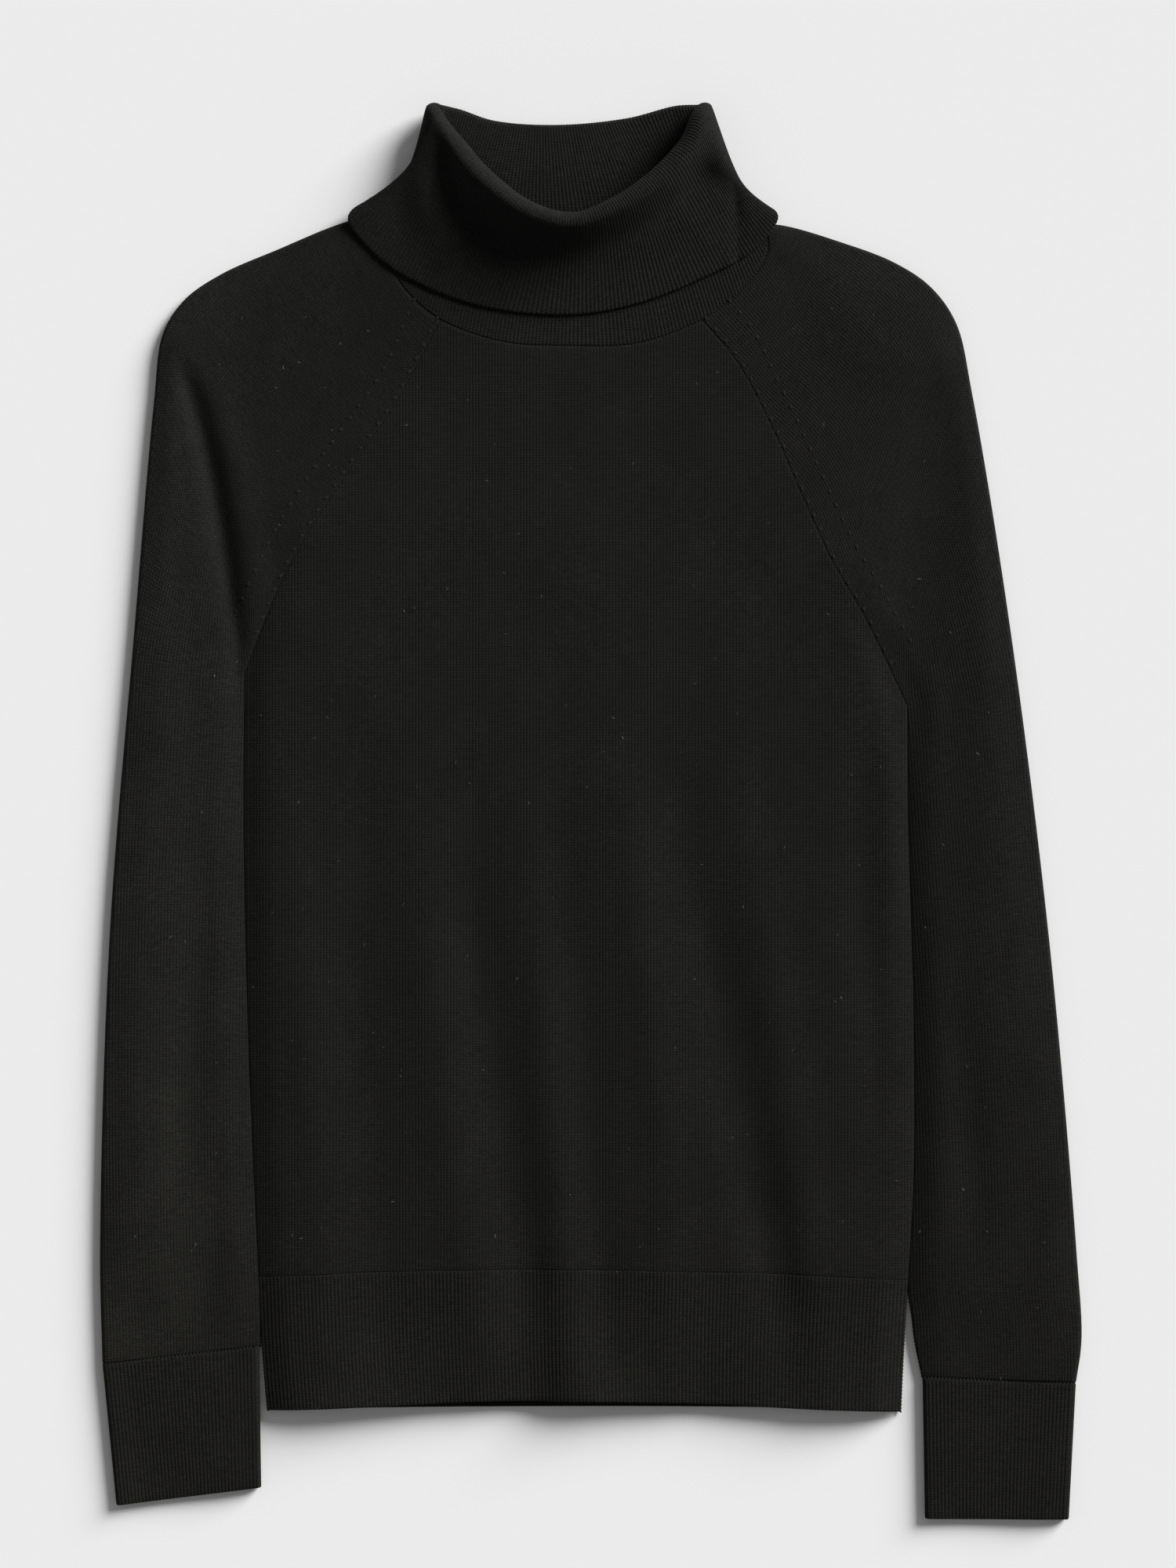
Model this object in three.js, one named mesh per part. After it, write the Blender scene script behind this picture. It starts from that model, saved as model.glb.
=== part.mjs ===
// A fine-gauge raglan turtleneck sweater, laid flat on its back, in millimetres, +Z up.
// It is drawn as seen from above: +Y runs up towards the collar, and left and right are the viewer's.
// Every piece is a knitted wall: a middle surface with half the cloth's thickness added on each side.
import * as THREE from "three";

// Driving sizes
const WALL = 1.8; // body and sleeve cloth, two yarns and their loft
const RIB_WALL = 1.8; // ribbed cloth, measured over its ribs
const SEAM = 0.3; // gap between two pieces at a seam
const LYING = 2 * WALL + SEAM; // height of two layers that lie on each other
const LOFT = 7.4; // height over the air that stays between front and back
const SHOULDER_FOLD = 5.6; // height of the folded outer edge of a sleeve
const CUFF_HEIGHT = 5.4; // height of a flattened cuff
const EASE = 18; // width over which the cloth rises from an edge to its loft
const FOLD_CLEARANCE = 2; // how much further a sleeve's fold stops short of the collar
const NECK_REACH = 0.3; // share of the raglan seam over which rows bend to the neckline
const HEM_REACH = 0.25; // share of the side seam over which rows bend to the hem seam
const ARMPIT_REACH = 0.2; // share of the raglan seam over which its end swings to the underarm seam
const CUFF_REACH = 0.2; // share of the underarm seam over which a sleeve sinks to its cuff
const RAGLAN_SINKS = 0.62; // share of the raglan seam from which it sinks towards the armpit
const CLEARANCE = 0.1; // keeps the flat facets of two long seam edges apart
const MIDDLE = [0.65, -1.1]; // middle of the laid-out outline in the drawing's own frame

const RIB_DEPTH = 0.55; // groove between two ribs
const HEM_RIBS = 116; // each stands for two knitted ribs, at 3 mm
const CUFF_RIBS = 56; // all round one cuff, each stands for two knitted ribs
const COLLAR_RIBS = 72; // all round the collar, each stands for two or three knitted ribs
const KNEE_PULL = 0.9; // how closely the collar's layers follow their knees

const BLACK_KNIT = { color: 0x1c1d1c, roughness: 0.95, metalness: 0 };
const BLACK_RIB = { color: 0x191a17, roughness: 0.95, metalness: 0 };

const vec = (x, y, z = 0) => new THREE.Vector3(x, y, z);
const clamp01 = (t) => Math.min(Math.max(t, 0), 1);
const mix = (a, b, t) => a + (b - a) * t;
const smooth = (t) => clamp01(t) ** 2 * (3 - 2 * clamp01(t));
const curve = (points) => new THREE.CatmullRomCurve3(points.map((p) => vec(...p)), false, "centripetal");
const along = (line, t) => line.getPointAt(clamp01(t));
const last = (list) => list[list.length - 1];

// Outlines in plan. Each runs from the neck down.
const LEFT = {
  sign: -1,
  raglanFront: curve([
    [-79.8, 263.8], [-105.8, 217.1], [-131, 180.6], [-154.6, 144.5], [-168.8, 116.3], [-184.8, 75.2],
  ]),
  raglanBack: curve([
    [-74.3, 303.2], [-107.5, 238.1], [-131, 198.2], [-154.6, 156.2], [-168.8, 122.6], [-184.8, 75.2],
  ]),
  bodySide: curve([[-184.8, 75.2], [-185.2, -10], [-183.1, -110.5], [-179.8, -194.5], [-177.2, -248.6]]),
  hemSide: curve([[-177.2, -248.6], [-175.1, -290], [-172.6, -320]]),
  sleeveOuter: curve([
    [-107.1, 322], [-121.8, 320.5], [-135.2, 315.8], [-164.6, 303.2], [-198.2, 288.5], [-217.6, 274.7],
    [-228.9, 256.6], [-233.5, 221.3], [-244, 99.5], [-257.5, -68.5], [-262.5, -236.5], [-261.2, -295],
  ]),
  underarm: curve([[-186.6, 75.2], [-187, -10], [-185, -110.5], [-181.7, -194.5], [-177.2, -285.7]]),
  cuff: {
    innerTop: [-177.2, -286.3],
    outerTop: [-261.2, -295.6],
    innerEnd: [-176, -361.6],
    outerEnd: [-253.7, -371.3],
  },
};

const RIGHT = {
  sign: 1,
  raglanFront: curve([
    [60.1, 263.8], [79, 241.1], [98.3, 205], [112.6, 172.2], [129.8, 134.8], [148.3, 102.9], [170.1, 57.5],
  ]),
  raglanBack: curve([
    [55.9, 303.2], [74.8, 267.5], [95.8, 227.6], [112.6, 187.7], [129.8, 145.7], [148.3, 107.9],
    [170.1, 57.5],
  ]),
  bodySide: curve([[170.1, 57.5], [170.5, 0], [173.5, -110.5], [173.5, -194.5], [170.5, -250.3]]),
  hemSide: curve([[170.5, -250.3], [168.4, -285], [166.7, -320.9]]),
  sleeveOuter: curve([
    [92, 319], [104.2, 316.3], [129.4, 307.9], [163, 295.3], [183.1, 281.8], [196.6, 262.5],
    [205, 225.5], [225.5, 99.5], [246.5, -68.5], [261.2, -236.5], [263.8, -282.7], [260.8, -305.5],
  ]),
  underarm: curve([
    [172, 57.5], [172.4, 0], [175.5, -110.5], [175.5, -194.5], [173.5, -274], [178.5, -302.5],
  ]),
  cuff: {
    innerTop: [178.5, -303.1],
    outerTop: [260.8, -306.1],
    innerEnd: [179.8, -378.4],
    outerEnd: [257, -378.8],
  },
};

const HEM_SEAM = curve([[-177.2, -248.6], [-75.2, -244.9], [74.8, -246.1], [170.5, -250.3]]);
const HEM_FRONT_END = curve([
  [-172.6, -320], [-105.8, -317.1], [-40, -314.8], [45.4, -315.8], [112.6, -318.8], [166.7, -320.9],
]);
const HEM_BACK_END = curve([[-172.6, -320], [-60, -318.6], [80, -318.8], [166.7, -320.9]]);

// Rows of a sleeve: where a row's ends lie, as shares of the raglan seam (0 to 1) or of the
// underarm (1 to 2), and of the sleeve's outer edge. The rows swing round at the shoulder.
const SLEEVE_ROWS = [
  { inner: 0, outer: 0 },
  { inner: 0.25, outer: 0.06 },
  { inner: 0.5, outer: 0.15 },
  { inner: 0.6, outer: 0.186 },
  { inner: 0.69, outer: 0.215 },
  { inner: 0.8, outer: 0.275 },
  { inner: 0.9, outer: 0.35 },
  { inner: 1, outer: 0.46 },
  { inner: 2, outer: 1 },
];

// Soft troughs where the laid cloth sinks, each a line down the garment with its depth and half width.
const TROUGHS = [
  { line: [[-123, 60], [-122, -90], [-116, -160], [-110, -240], [-110, -320]], depth: 1.7, half: 17 },
  { line: [[-62, 40], [-63, -48], [-50, -130], [-38, -220], [-27, -320]], depth: 2.3, half: 15 },
  { line: [[-16, 40], [-3, -110], [5, -220], [14, -320]], depth: 1.4, half: 12 },
  { line: [[51, 20], [72, -110], [92, -215], [106, -320]], depth: 2.6, half: 15 },
  { line: [[145, 60], [146, -48], [155, -132], [158, -240]], depth: 1.4, half: 12 },
  { line: [[-222, 250], [-206, 200], [-197, 142], [-189, 98], [-186, 70]], depth: 2.8, half: 20 },
  { line: [[186, 235], [187, 200], [182, 160], [178, 116], [172, 60]], depth: 2.8, half: 20 },
];
const TROUGH_FADE = 60; // length over which a trough fades in from its top end
const TROUGH_START = 0.15; // share of the fade already reached at the top end
const TROUGH_STRETCH = 0.6; // how much shorter a distance counts along the garment than across it

// The collar tube at 18 stations round the neck, from the front centre past the left side and the back.
// A row gives where it is linked to the body, the knee of its inner layer, the top of the roll where it
// turns over, the knee of its outer layer, its free edge, and the radius of the roll.
const COLLAR_ROWS = [
  [[-11.3, 249.9, 6.5], [-9.6, 306, 7.7], [-9, 317.2, 31], [-9.8, 299, 10.8], [-11.3, 266.3, 9], 3.8],
  [[-47, 252, 6.5], [-36.5, 314, 7.7], [-31.7, 323.8, 30], [-41.5, 308.5, 10.8], [-56.3, 270.5, 9], 4.2],
  [[-79.8, 263.8, 6.5], [-60.5, 335.5, 7.6], [-54.9, 344.3, 28.5], [-66, 329.5, 10.6], [-89, 281.8, 9], 4.8],
  [[-99.5, 281, 6.5], [-72.5, 352, 7.2], [-67.7, 360.7, 24.5], [-76.5, 348, 10], [-113.8, 297.4, 9], 5.2],
  [[-109, 300, 6.3], [-87, 343, 6.8], [-78.5, 374.5, 20.5], [-89.5, 346, 10.6], [-129.4, 318.4, 8.4], 5.2],
  [[-107, 318, 5.4], [-88.5, 342, 4.8], [-82, 379.2, 14], [-91, 337, 6.5], [-121, 326.5, 5.5], 4.2],
  [[-105, 318.5, 1.8], [-87, 342, 4.2], [-80.5, 379.4, 7], [-90, 338, 2.2], [-111, 332, 1.4], 3],
  [[-90, 309, 0.9], [-77.5, 342, 4.8], [-69, 377, 4.2], [-76, 352, 0.9], [-86.9, 330, 0.9], 2.1],
  [[-74.3, 300, 0.9], [-62.7, 334.6, 5.2], [-51.2, 371.3, 2.7], [-53.3, 342.6, 0.9], [-55.4, 316, 0.9], 1.8],
  [[-9.2, 293, 0.9], [-13.4, 330.2, 5.2], [-17.6, 369, 2.7], [-13.4, 339.7, 0.9], [-9.2, 312, 0.9], 1.8],
  [[55.9, 300, 0.9], [38, 335.5, 5.2], [20.2, 372.6, 2.7], [28.6, 343.5, 0.9], [37, 316, 0.9], 1.8],
  [[74, 307, 0.9], [58, 341.3, 4.8], [46, 379, 4.2], [55, 353, 0.9], [66.4, 331, 0.9], 2.1],
  [[90.5, 315.5, 1.8], [68, 342, 4.2], [59, 379.2, 7], [73.5, 337, 2.2], [83, 333, 1.4], 3],
  [[92.5, 315, 5.4], [69.5, 342, 4.8], [59.5, 378.8, 14], [74.5, 334.5, 6.5], [94, 325, 5.5], 4.2],
  [[95, 300, 6.3], [69.5, 342, 6.8], [56.5, 374, 20.5], [75, 335, 9.8], [101, 319, 8.4], 5.4],
  [[79.8, 279.3, 6.5], [56, 346.5, 7.3], [49.3, 355.8, 26], [62.5, 341, 10.3], [86.5, 300, 9], 5.6],
  [[60.1, 263.8, 6.5], [40.3, 330, 7.6], [34.8, 340, 28.5], [45.5, 325, 10.6], [64.3, 287.7, 9], 5.2],
  [[25.2, 251.2, 6.5], [17.2, 314.3, 7.7], [13.7, 324.8, 30.5], [20, 307.5, 10.8], [25.2, 272.2, 9], 4.4],
];
const [SEAM_RING, STAND_KNEE_RING, FOLD_RING, FALL_KNEE_RING, EDGE_RING, ROLL_COLUMN] = [0, 1, 2, 3, 4, 5];
const STATIONS = COLLAR_ROWS.length;
const LEFT_FRONT = 2; // station at the top of the left front raglan seam
const LEFT_FOLD = 5.5; // between the two stations at the left shoulder's fold
const LEFT_BACK = 8;
const RIGHT_BACK = 10;
const RIGHT_FOLD = 12.5;
const RIGHT_FRONT = 16;

const RINGS = [SEAM_RING, STAND_KNEE_RING, FOLD_RING, FALL_KNEE_RING, EDGE_RING].map(
  (column) => new THREE.CatmullRomCurve3(COLLAR_ROWS.map((row) => vec(...row[column])), true, "centripetal"),
);
const turnShare = (station) => (((station % STATIONS) + STATIONS) % STATIONS) / STATIONS;
const ringPoint = (ring, station) => {
  const p = RINGS[ring].getPoint(turnShare(station));
  p.z = Math.max(p.z, WALL / 2);
  return p;
};
const rollRadius = (station) => {
  const s = turnShare(station) * STATIONS;
  const low = Math.floor(s) % STATIONS;
  const high = (low + 1) % STATIONS;
  return mix(COLLAR_ROWS[low][ROLL_COLUMN], COLLAR_ROWS[high][ROLL_COLUMN], s - Math.floor(s));
};

// A wall from its middle surface. place(v, u) gives that surface, v along the rows and u across them.
// The outer face may have more columns than the inner one, and raise(v, u, k) lifts its column k.
function clothWall(shape) {
  const { rows, cols, place, thickness = WALL } = shape;
  const { closed = false, finer = 1, raise = () => 0, side = 1 } = shape;
  const face = (direction, count, lift) => {
    const middle = rows.map((v) => Array.from({ length: count + 1 }, (_, j) => place(v, j / count)));
    const end = rows.length - 1;
    return middle.map((row, i) =>
      row.map((p, j) => {
        const before = closed ? row[(j - 1 + count) % count] : row[Math.max(j - 1, 0)];
        const after = closed ? row[(j + 1) % count] : row[Math.min(j + 1, count)];
        const across = after.clone().sub(before);
        const down = middle[Math.min(i + 1, end)][j].clone().sub(middle[Math.max(i - 1, 0)][j]);
        const normal = down.cross(across).normalize();
        return p.clone().addScaledVector(normal, direction * (thickness / 2 + lift(rows[i], j / count, j)));
      }),
    );
  };
  const outer = face(side, cols * finer, raise);
  const inner = face(-side, cols, () => 0);
  return wallBody(outer, inner, closed);
}

// One closed body from an outer and an inner grid with the same rows.
function wallBody(outer, inner, closed) {
  const points = [];
  const triangles = [];
  const indexGrid = (grid) =>
    grid.map((row) => {
      const indices = [];
      row.forEach((p, j) => {
        const repeats = closed && j === row.length - 1;
        if (!repeats) points.push(p);
        indices.push(repeats ? indices[0] : points.length - 1);
      });
      return indices;
    });
  const a = indexGrid(outer);
  const b = indexGrid(inner);
  const skin = (g, turned) => {
    for (let i = 0; i + 1 < g.length; i++)
      for (let j = 0; j + 1 < g[i].length; j++) {
        const quad = [g[i][j], g[i][j + 1], g[i + 1][j + 1], g[i + 1][j]];
        if (turned) quad.reverse();
        triangles.push([quad[0], quad[1], quad[2]], [quad[0], quad[2], quad[3]]);
      }
  };
  skin(a, false);
  skin(b, true);
  const rim = (from, to, turned) => {
    let j = 0;
    let k = 0;
    const push = (t) => triangles.push(turned ? t.reverse() : t);
    while (j + 1 < from.length || k + 1 < to.length) {
      const next = (j + 1) / (from.length - 1) <= (k + 1) / (to.length - 1);
      if (k + 1 >= to.length || (next && j + 1 < from.length)) {
        push([from[j + 1], from[j], to[k]]);
        j++;
      } else {
        push([to[k], to[k + 1], from[j]]);
        k++;
      }
    }
  };
  rim(a[0], b[0], false);
  rim(last(a), last(b), true);
  if (!closed) {
    rim(a.map((row) => row[0]), b.map((row) => row[0]), true);
    rim(a.map(last), b.map(last), false);
  }
  const corner = ([p, q, r]) => points[p].dot(points[q].clone().cross(points[r]));
  const volume = triangles.reduce((sum, triangle) => sum + corner(triangle), 0);
  if (volume < 0) triangles.forEach((t) => t.reverse());
  const geometry = new THREE.BufferGeometry();
  const numbers = points.flatMap((p) => [p.x, p.y, p.z]);
  geometry.setAttribute("position", new THREE.Float32BufferAttribute(numbers, 3));
  geometry.setIndex(triangles.flat());
  geometry.computeVertexNormals();
  return geometry;
}

const shares = (count, from = 0, to = 1) =>
  Array.from({ length: count + 1 }, (_, i) => mix(from, to, i / count));
const END_CROWDING = 0.55;
const nearEnds = (t) => mix(t, (1 - Math.cos(Math.PI * t)) / 2, END_CROWDING); // closer steps at both ends
const rise = (distance, width = EASE) => Math.sin((Math.PI / 2) * clamp01(distance / width));

const TROUGH_LINES = TROUGHS.map((t) => ({ ...t, steps: curve(t.line).getSpacedPoints(24) }));
function troughDepth(x, y) {
  let total = 0;
  for (const { steps, depth, half } of TROUGH_LINES) {
    const top = steps[0].y;
    const above = smooth((top - y) / TROUGH_FADE + TROUGH_START);
    const below = smooth((y - last(steps).y) / TROUGH_FADE + 1);
    const fade = above * below;
    if (fade <= 0) continue;
    let nearest = Infinity;
    for (const p of steps) nearest = Math.min(nearest, Math.hypot(p.x - x, (p.y - y) * TROUGH_STRETCH));
    total += depth * fade * Math.exp(-((nearest / half) ** 2));
  }
  return total;
}

// Height of the seam between body and sleeve, lying low at the armpit and lofty at the neck.
const seamHeight = (share) => mix(LOFT, LYING, smooth((share - RAGLAN_SINKS) / (1 - RAGLAN_SINKS)));
// The front never sinks into the back.
const topHeight = (x, y, height) => Math.max(height - troughDepth(x, y), LYING);

// Edge of the body at a row: 0 to 1 down the raglan seam, 1 to 2 down the side, 2 to 3 down the hem.
function bodyEdge(side, row, face) {
  const raglan = face === "front" ? side.raglanFront : side.raglanBack;
  const lines = [raglan, side.bodySide, side.hemSide];
  const which = Math.max(Math.ceil(row) - 1, 0);
  const p = along(lines[which], row - which);
  p.x -= side.sign * (SEAM / 2 + CLEARANCE);
  return p;
}

function bodyPoint(row, u, face) {
  const left = bodyEdge(LEFT, row, face);
  const right = bodyEdge(RIGHT, row, face);
  const p = left.clone().lerp(right, u);
  const stations = face === "front" ? [LEFT_FRONT, RIGHT_FRONT - STATIONS] : [LEFT_BACK, RIGHT_BACK];
  const neck = ringPoint(SEAM_RING, mix(stations[0], stations[1], u));
  const flat = bodyEdge(LEFT, 0, face).lerp(bodyEdge(RIGHT, 0, face), u);
  const pull = (1 - clamp01(row / NECK_REACH)) ** 2;
  p.y += (neck.y - flat.y - 2 * SEAM) * pull;
  if (row > 2 - HEM_REACH && row <= 2) {
    const seamY = along(HEM_SEAM, u).y + SEAM / 2;
    const straight = mix(bodyEdge(LEFT, 2, face).y, bodyEdge(RIGHT, 2, face).y, u);
    p.y += (seamY - straight) * smooth((row - 2 + HEM_REACH) / HEM_REACH);
  }
  if (face === "back") {
    p.z = WALL / 2;
    return p;
  }
  const edgeHeight = row <= 1 ? seamHeight(row) : LYING;
  const distance = Math.min(p.x - left.x, right.x - p.x);
  p.z = topHeight(p.x, p.y, mix(edgeHeight, LOFT, rise(distance))) - WALL / 2;
  return p;
}

const bodyRows = [...shares(8), ...shares(12, 1, 2).slice(1)];
const frontPanel = () =>
  clothWall({ rows: bodyRows, cols: 30, place: (v, u) => bodyPoint(v, nearEnds(u), "front") });
const backPanel = () =>
  clothWall({ rows: [...shares(6), 1.5, 2], cols: 6, place: (v, u) => bodyPoint(v, u, "back") });

// The hem ribs hang from the hem seam. The front one lifts and sinks with the folds above it.
function hemPoint(v, u, face) {
  const left = bodyEdge(LEFT, 2 + v, face);
  const right = bodyEdge(RIGHT, 2 + v, face);
  const top = along(HEM_SEAM, u).y - SEAM / 2;
  const end = along(face === "front" ? HEM_FRONT_END : HEM_BACK_END, u).y;
  const p = vec(mix(left.x, right.x, u), mix(top, end, v), WALL / 2);
  if (face === "back") return p;
  const distance = Math.min(p.x - left.x, right.x - p.x);
  p.z = topHeight(p.x, p.y, mix(LYING, LOFT, rise(distance))) - RIB_WALL / 2;
  return p;
}

// Grooves between ribs: every second column of the outer face lies lower.
const ribGrooves = (v, u, column) => (column % 2 ? -RIB_DEPTH : 0);
const hemFront = () =>
  clothWall({
    rows: shares(2),
    cols: HEM_RIBS / 4,
    finer: 8,
    place: (v, u) => hemPoint(v, u, "front"),
    thickness: RIB_WALL,
    raise: ribGrooves,
  });
const hemBack = () =>
  clothWall({ rows: shares(1), cols: 6, place: (v, u) => hemPoint(v, u, "back"), thickness: RIB_WALL });

// A sleeve is one wall bent into a C: front layer, folded outer edge, back layer. Its two inner
// edges run up the raglan seams, and lie on each other below the armpit as the underarm seam.
const TOP_SHARE = 0.55; // columns in the front layer
const FOLD_SHARE = 0.15; // columns round the folded edge
function sleeveSection(side, row, u) {
  const next = SLEEVE_ROWS.findIndex((r) => r.inner >= row);
  const upper = SLEEVE_ROWS[Math.max(next - 1, 0)];
  const lower = SLEEVE_ROWS[next];
  const t = lower === upper ? 0 : (row - upper.inner) / (lower.inner - upper.inner);
  const outerShare = mix(upper.outer, lower.outer, t);
  const gap = side.sign * (SEAM / 2 + CLEARANCE);
  const inner = row <= 1 ? along(side.raglanFront, row) : along(side.underarm, row - 1);
  const innerBack = row <= 1 ? along(side.raglanBack, row) : inner.clone();
  const armpitShift = side.underarm.points[0].x - along(side.raglanFront, 1).x;
  if (row <= 1) {
    const shift = gap + armpitShift * smooth((row - 1 + ARMPIT_REACH) / ARMPIT_REACH);
    inner.x += shift;
    innerBack.x += shift;
  }
  const tangent = side.sleeveOuter.getTangentAt(outerShare);
  const outward = vec(side.sign * -tangent.y, side.sign * tangent.x);
  const foldHeight = mix(SHOULDER_FOLD, CUFF_HEIGHT, clamp01(row - 1));
  const centre = along(side.sleeveOuter, outerShare).addScaledVector(outward, -foldHeight / 2);
  if (u < TOP_SHARE) {
    const s = nearEnds(u / TOP_SHARE);
    const p = inner.clone().lerp(centre, s);
    const length = inner.distanceTo(centre);
    const loft = mix(LOFT, CUFF_HEIGHT, smooth((row - 2 + CUFF_REACH) / CUFF_REACH));
    const edge = row <= 1 ? seamHeight(row) : LYING;
    const fromInner = mix(edge, loft, rise(s * length));
    const fromFold = mix(foldHeight, loft, rise((1 - s) * length));
    p.z = topHeight(p.x, p.y, Math.min(fromInner, fromFold)) - WALL / 2;
    return p;
  }
  if (u < TOP_SHARE + FOLD_SHARE) {
    const angle = (Math.PI * (u - TOP_SHARE)) / FOLD_SHARE;
    const radius = (foldHeight - WALL) / 2;
    const p = centre.clone().addScaledVector(outward, radius * Math.sin(angle));
    p.z = foldHeight / 2 + radius * Math.cos(angle);
    return p;
  }
  const p = centre.clone().lerp(innerBack, (u - TOP_SHARE - FOLD_SHARE) / (1 - TOP_SHARE - FOLD_SHARE));
  p.z = WALL / 2;
  return p;
}

function sleevePoint(side, row, u) {
  const p = sleeveSection(side, row, u);
  if (row >= NECK_REACH) return p;
  const [front, fold, back] =
    side === LEFT ? [LEFT_FRONT, LEFT_FOLD, LEFT_BACK] : [RIGHT_FRONT, RIGHT_FOLD, RIGHT_BACK];
  const foldMiddle = TOP_SHARE + FOLD_SHARE / 2;
  const inFront = u < foldMiddle;
  const share = inFront ? u / foldMiddle : (u - foldMiddle) / (1 - foldMiddle);
  const station = inFront ? mix(front, fold, share) : mix(fold, back, share);
  const pull = (1 - row / NECK_REACH) ** 2;
  const neck = ringPoint(SEAM_RING, station);
  const start = sleeveSection(side, 0, u);
  const downSleeve = sleeveSection(side, NECK_REACH, u).sub(start).setZ(0).normalize();
  const clear = 2 * SEAM + FOLD_CLEARANCE * Math.exp(-(((u - foldMiddle) / FOLD_SHARE) ** 2));
  return p.add(neck.addScaledVector(downSleeve, clear).sub(start).multiplyScalar(pull));
}

const sleeveRows = [...shares(10), ...shares(10, 1, 2).slice(1)];
const sleeve = (side) =>
  clothWall({ rows: sleeveRows, cols: 20, place: (v, u) => sleevePoint(side, v, u) });

// A cuff is a short tube, flattened, with a fold at each side.
const CUFF_FACE = 0.44; // share of the columns on one face
const CUFF_FOLD = 0.5 - CUFF_FACE; // share of the columns in one fold
function cuffPoint(side, v, u) {
  const { innerTop, outerTop, innerEnd, outerEnd } = side.cuff;
  const inner = vec(...innerTop).lerp(vec(...innerEnd), v);
  const outer = vec(...outerTop).lerp(vec(...outerEnd), v);
  const across = outer.clone().sub(inner).normalize();
  const radius = (CUFF_HEIGHT - RIB_WALL) / 2;
  inner.addScaledVector(across, CUFF_HEIGHT / 2);
  outer.addScaledVector(across, -CUFF_HEIGHT / 2);
  const back = u >= 0.5;
  const share = back ? u - 0.5 : u;
  const onFace = Math.min(share / CUFF_FACE, 1);
  const inFold = Math.max((share - CUFF_FACE) / CUFF_FOLD, 0);
  const step = back ? 1 - onFace : onFace;
  const turn = back ? 1 + inFold : inFold;
  const p = inner.lerp(outer, step);
  p.addScaledVector(across, radius * Math.sin(Math.PI * turn));
  p.z = CUFF_HEIGHT / 2 + radius * Math.cos(Math.PI * turn);
  return p;
}
const cuff = (side) =>
  clothWall({
    rows: shares(2),
    cols: CUFF_RIBS / 2,
    finer: 4,
    place: (v, u) => cuffPoint(side, v, u),
    thickness: RIB_WALL,
    closed: true,
    side: side.sign,
    raise: (v, u, column) => (cuffPoint(side, v, u).z > CUFF_HEIGHT / 2 ? ribGrooves(v, u, column) : 0),
  });

// The collar's middle line at one station: up the stand, round the roll, down the fall.
const STAND = 1;
const ROLL = 2;
const kneeCurve = (start, knee, end, t) =>
  new THREE.CubicBezierCurve3(
    start, start.clone().lerp(knee, KNEE_PULL), end.clone().lerp(knee, KNEE_PULL), end,
  ).getPoint(t);
function collarPoint(v, station) {
  const [seam, standKnee, fold, fallKnee, edge] = RINGS.map((_, ring) => ringPoint(ring, station));
  const step = 0.05;
  const tangent = ringPoint(FOLD_RING, station + step).sub(ringPoint(FOLD_RING, station - step)).normalize();
  const roll = rollRadius(station);
  const up = fold.clone().sub(standKnee.clone().lerp(fallKnee, 0.5)).normalize();
  const outward = up.clone().cross(tangent).normalize();
  const centre = fold.clone().addScaledVector(up, -(roll + RIB_WALL / 2));
  const rollStart = centre.clone().addScaledVector(outward, -roll);
  const rollEnd = centre.clone().addScaledVector(outward, roll);
  let p;
  if (v <= STAND) {
    const start = seam.clone().addScaledVector(standKnee.clone().sub(seam).normalize(), SEAM * 1.5);
    p = kneeCurve(start, standKnee, rollStart, v);
  } else if (v <= ROLL) {
    const angle = Math.PI * (v - STAND);
    p = centre.clone().addScaledVector(outward, -roll * Math.cos(angle));
    p.addScaledVector(up, roll * Math.sin(angle));
  } else {
    p = kneeCurve(rollEnd, fallKnee, edge, v - ROLL);
  }
  p.z = Math.max(p.z, WALL / 2);
  return p;
}

// Columns round the collar lie between even steps from station to station and even steps in length.
const LENGTH_STEPS = 40; // to a station
const ringLengths = [0];
for (let k = 0; k < STATIONS * LENGTH_STEPS; k++) {
  const [from, to] = [k / LENGTH_STEPS, (k + 1) / LENGTH_STEPS];
  const stride = (ring) => ringPoint(ring, to).distanceTo(ringPoint(ring, from));
  ringLengths.push(last(ringLengths) + stride(SEAM_RING) + stride(FOLD_RING) + stride(EDGE_RING));
}
const columnStation = (u) => {
  const reached = u * last(ringLengths);
  const next = Math.max(ringLengths.findIndex((length) => length >= reached), 1);
  const share = (reached - ringLengths[next - 1]) / (ringLengths[next] - ringLengths[next - 1]);
  return mix(u * STATIONS, (next - 1 + share) / LENGTH_STEPS, 0.5);
};

// The ribs die away round the two tight folds at the sides of the flattened neck.
const ribFade = (station) =>
  smooth(Math.abs(station - LEFT_FOLD) - 0.6) * smooth(Math.abs(station - RIGHT_FOLD) - 0.6);
const collar = () =>
  clothWall({
    rows: [...shares(5), ...shares(4, STAND, ROLL).slice(1), ...shares(6, ROLL, 3).slice(1)],
    cols: (COLLAR_RIBS * 2) / 3,
    finer: 3,
    place: (v, u) => collarPoint(v, columnStation(u)),
    thickness: RIB_WALL,
    closed: true,
    side: -1,
    raise: (v, u, column) => ribGrooves(v, u, column) * ribFade(columnStation(u)),
  });

const PIECES = {
  front_panel: [frontPanel, BLACK_KNIT],
  back_panel: [backPanel, BLACK_KNIT],
  sleeve_left: [() => sleeve(LEFT), BLACK_KNIT],
  sleeve_right: [() => sleeve(RIGHT), BLACK_KNIT],
  cuff_left: [() => cuff(LEFT), BLACK_RIB],
  cuff_right: [() => cuff(RIGHT), BLACK_RIB],
  hem_front: [hemFront, BLACK_RIB],
  hem_back: [hemBack, BLACK_RIB],
  collar: [collar, BLACK_RIB],
};

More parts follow.
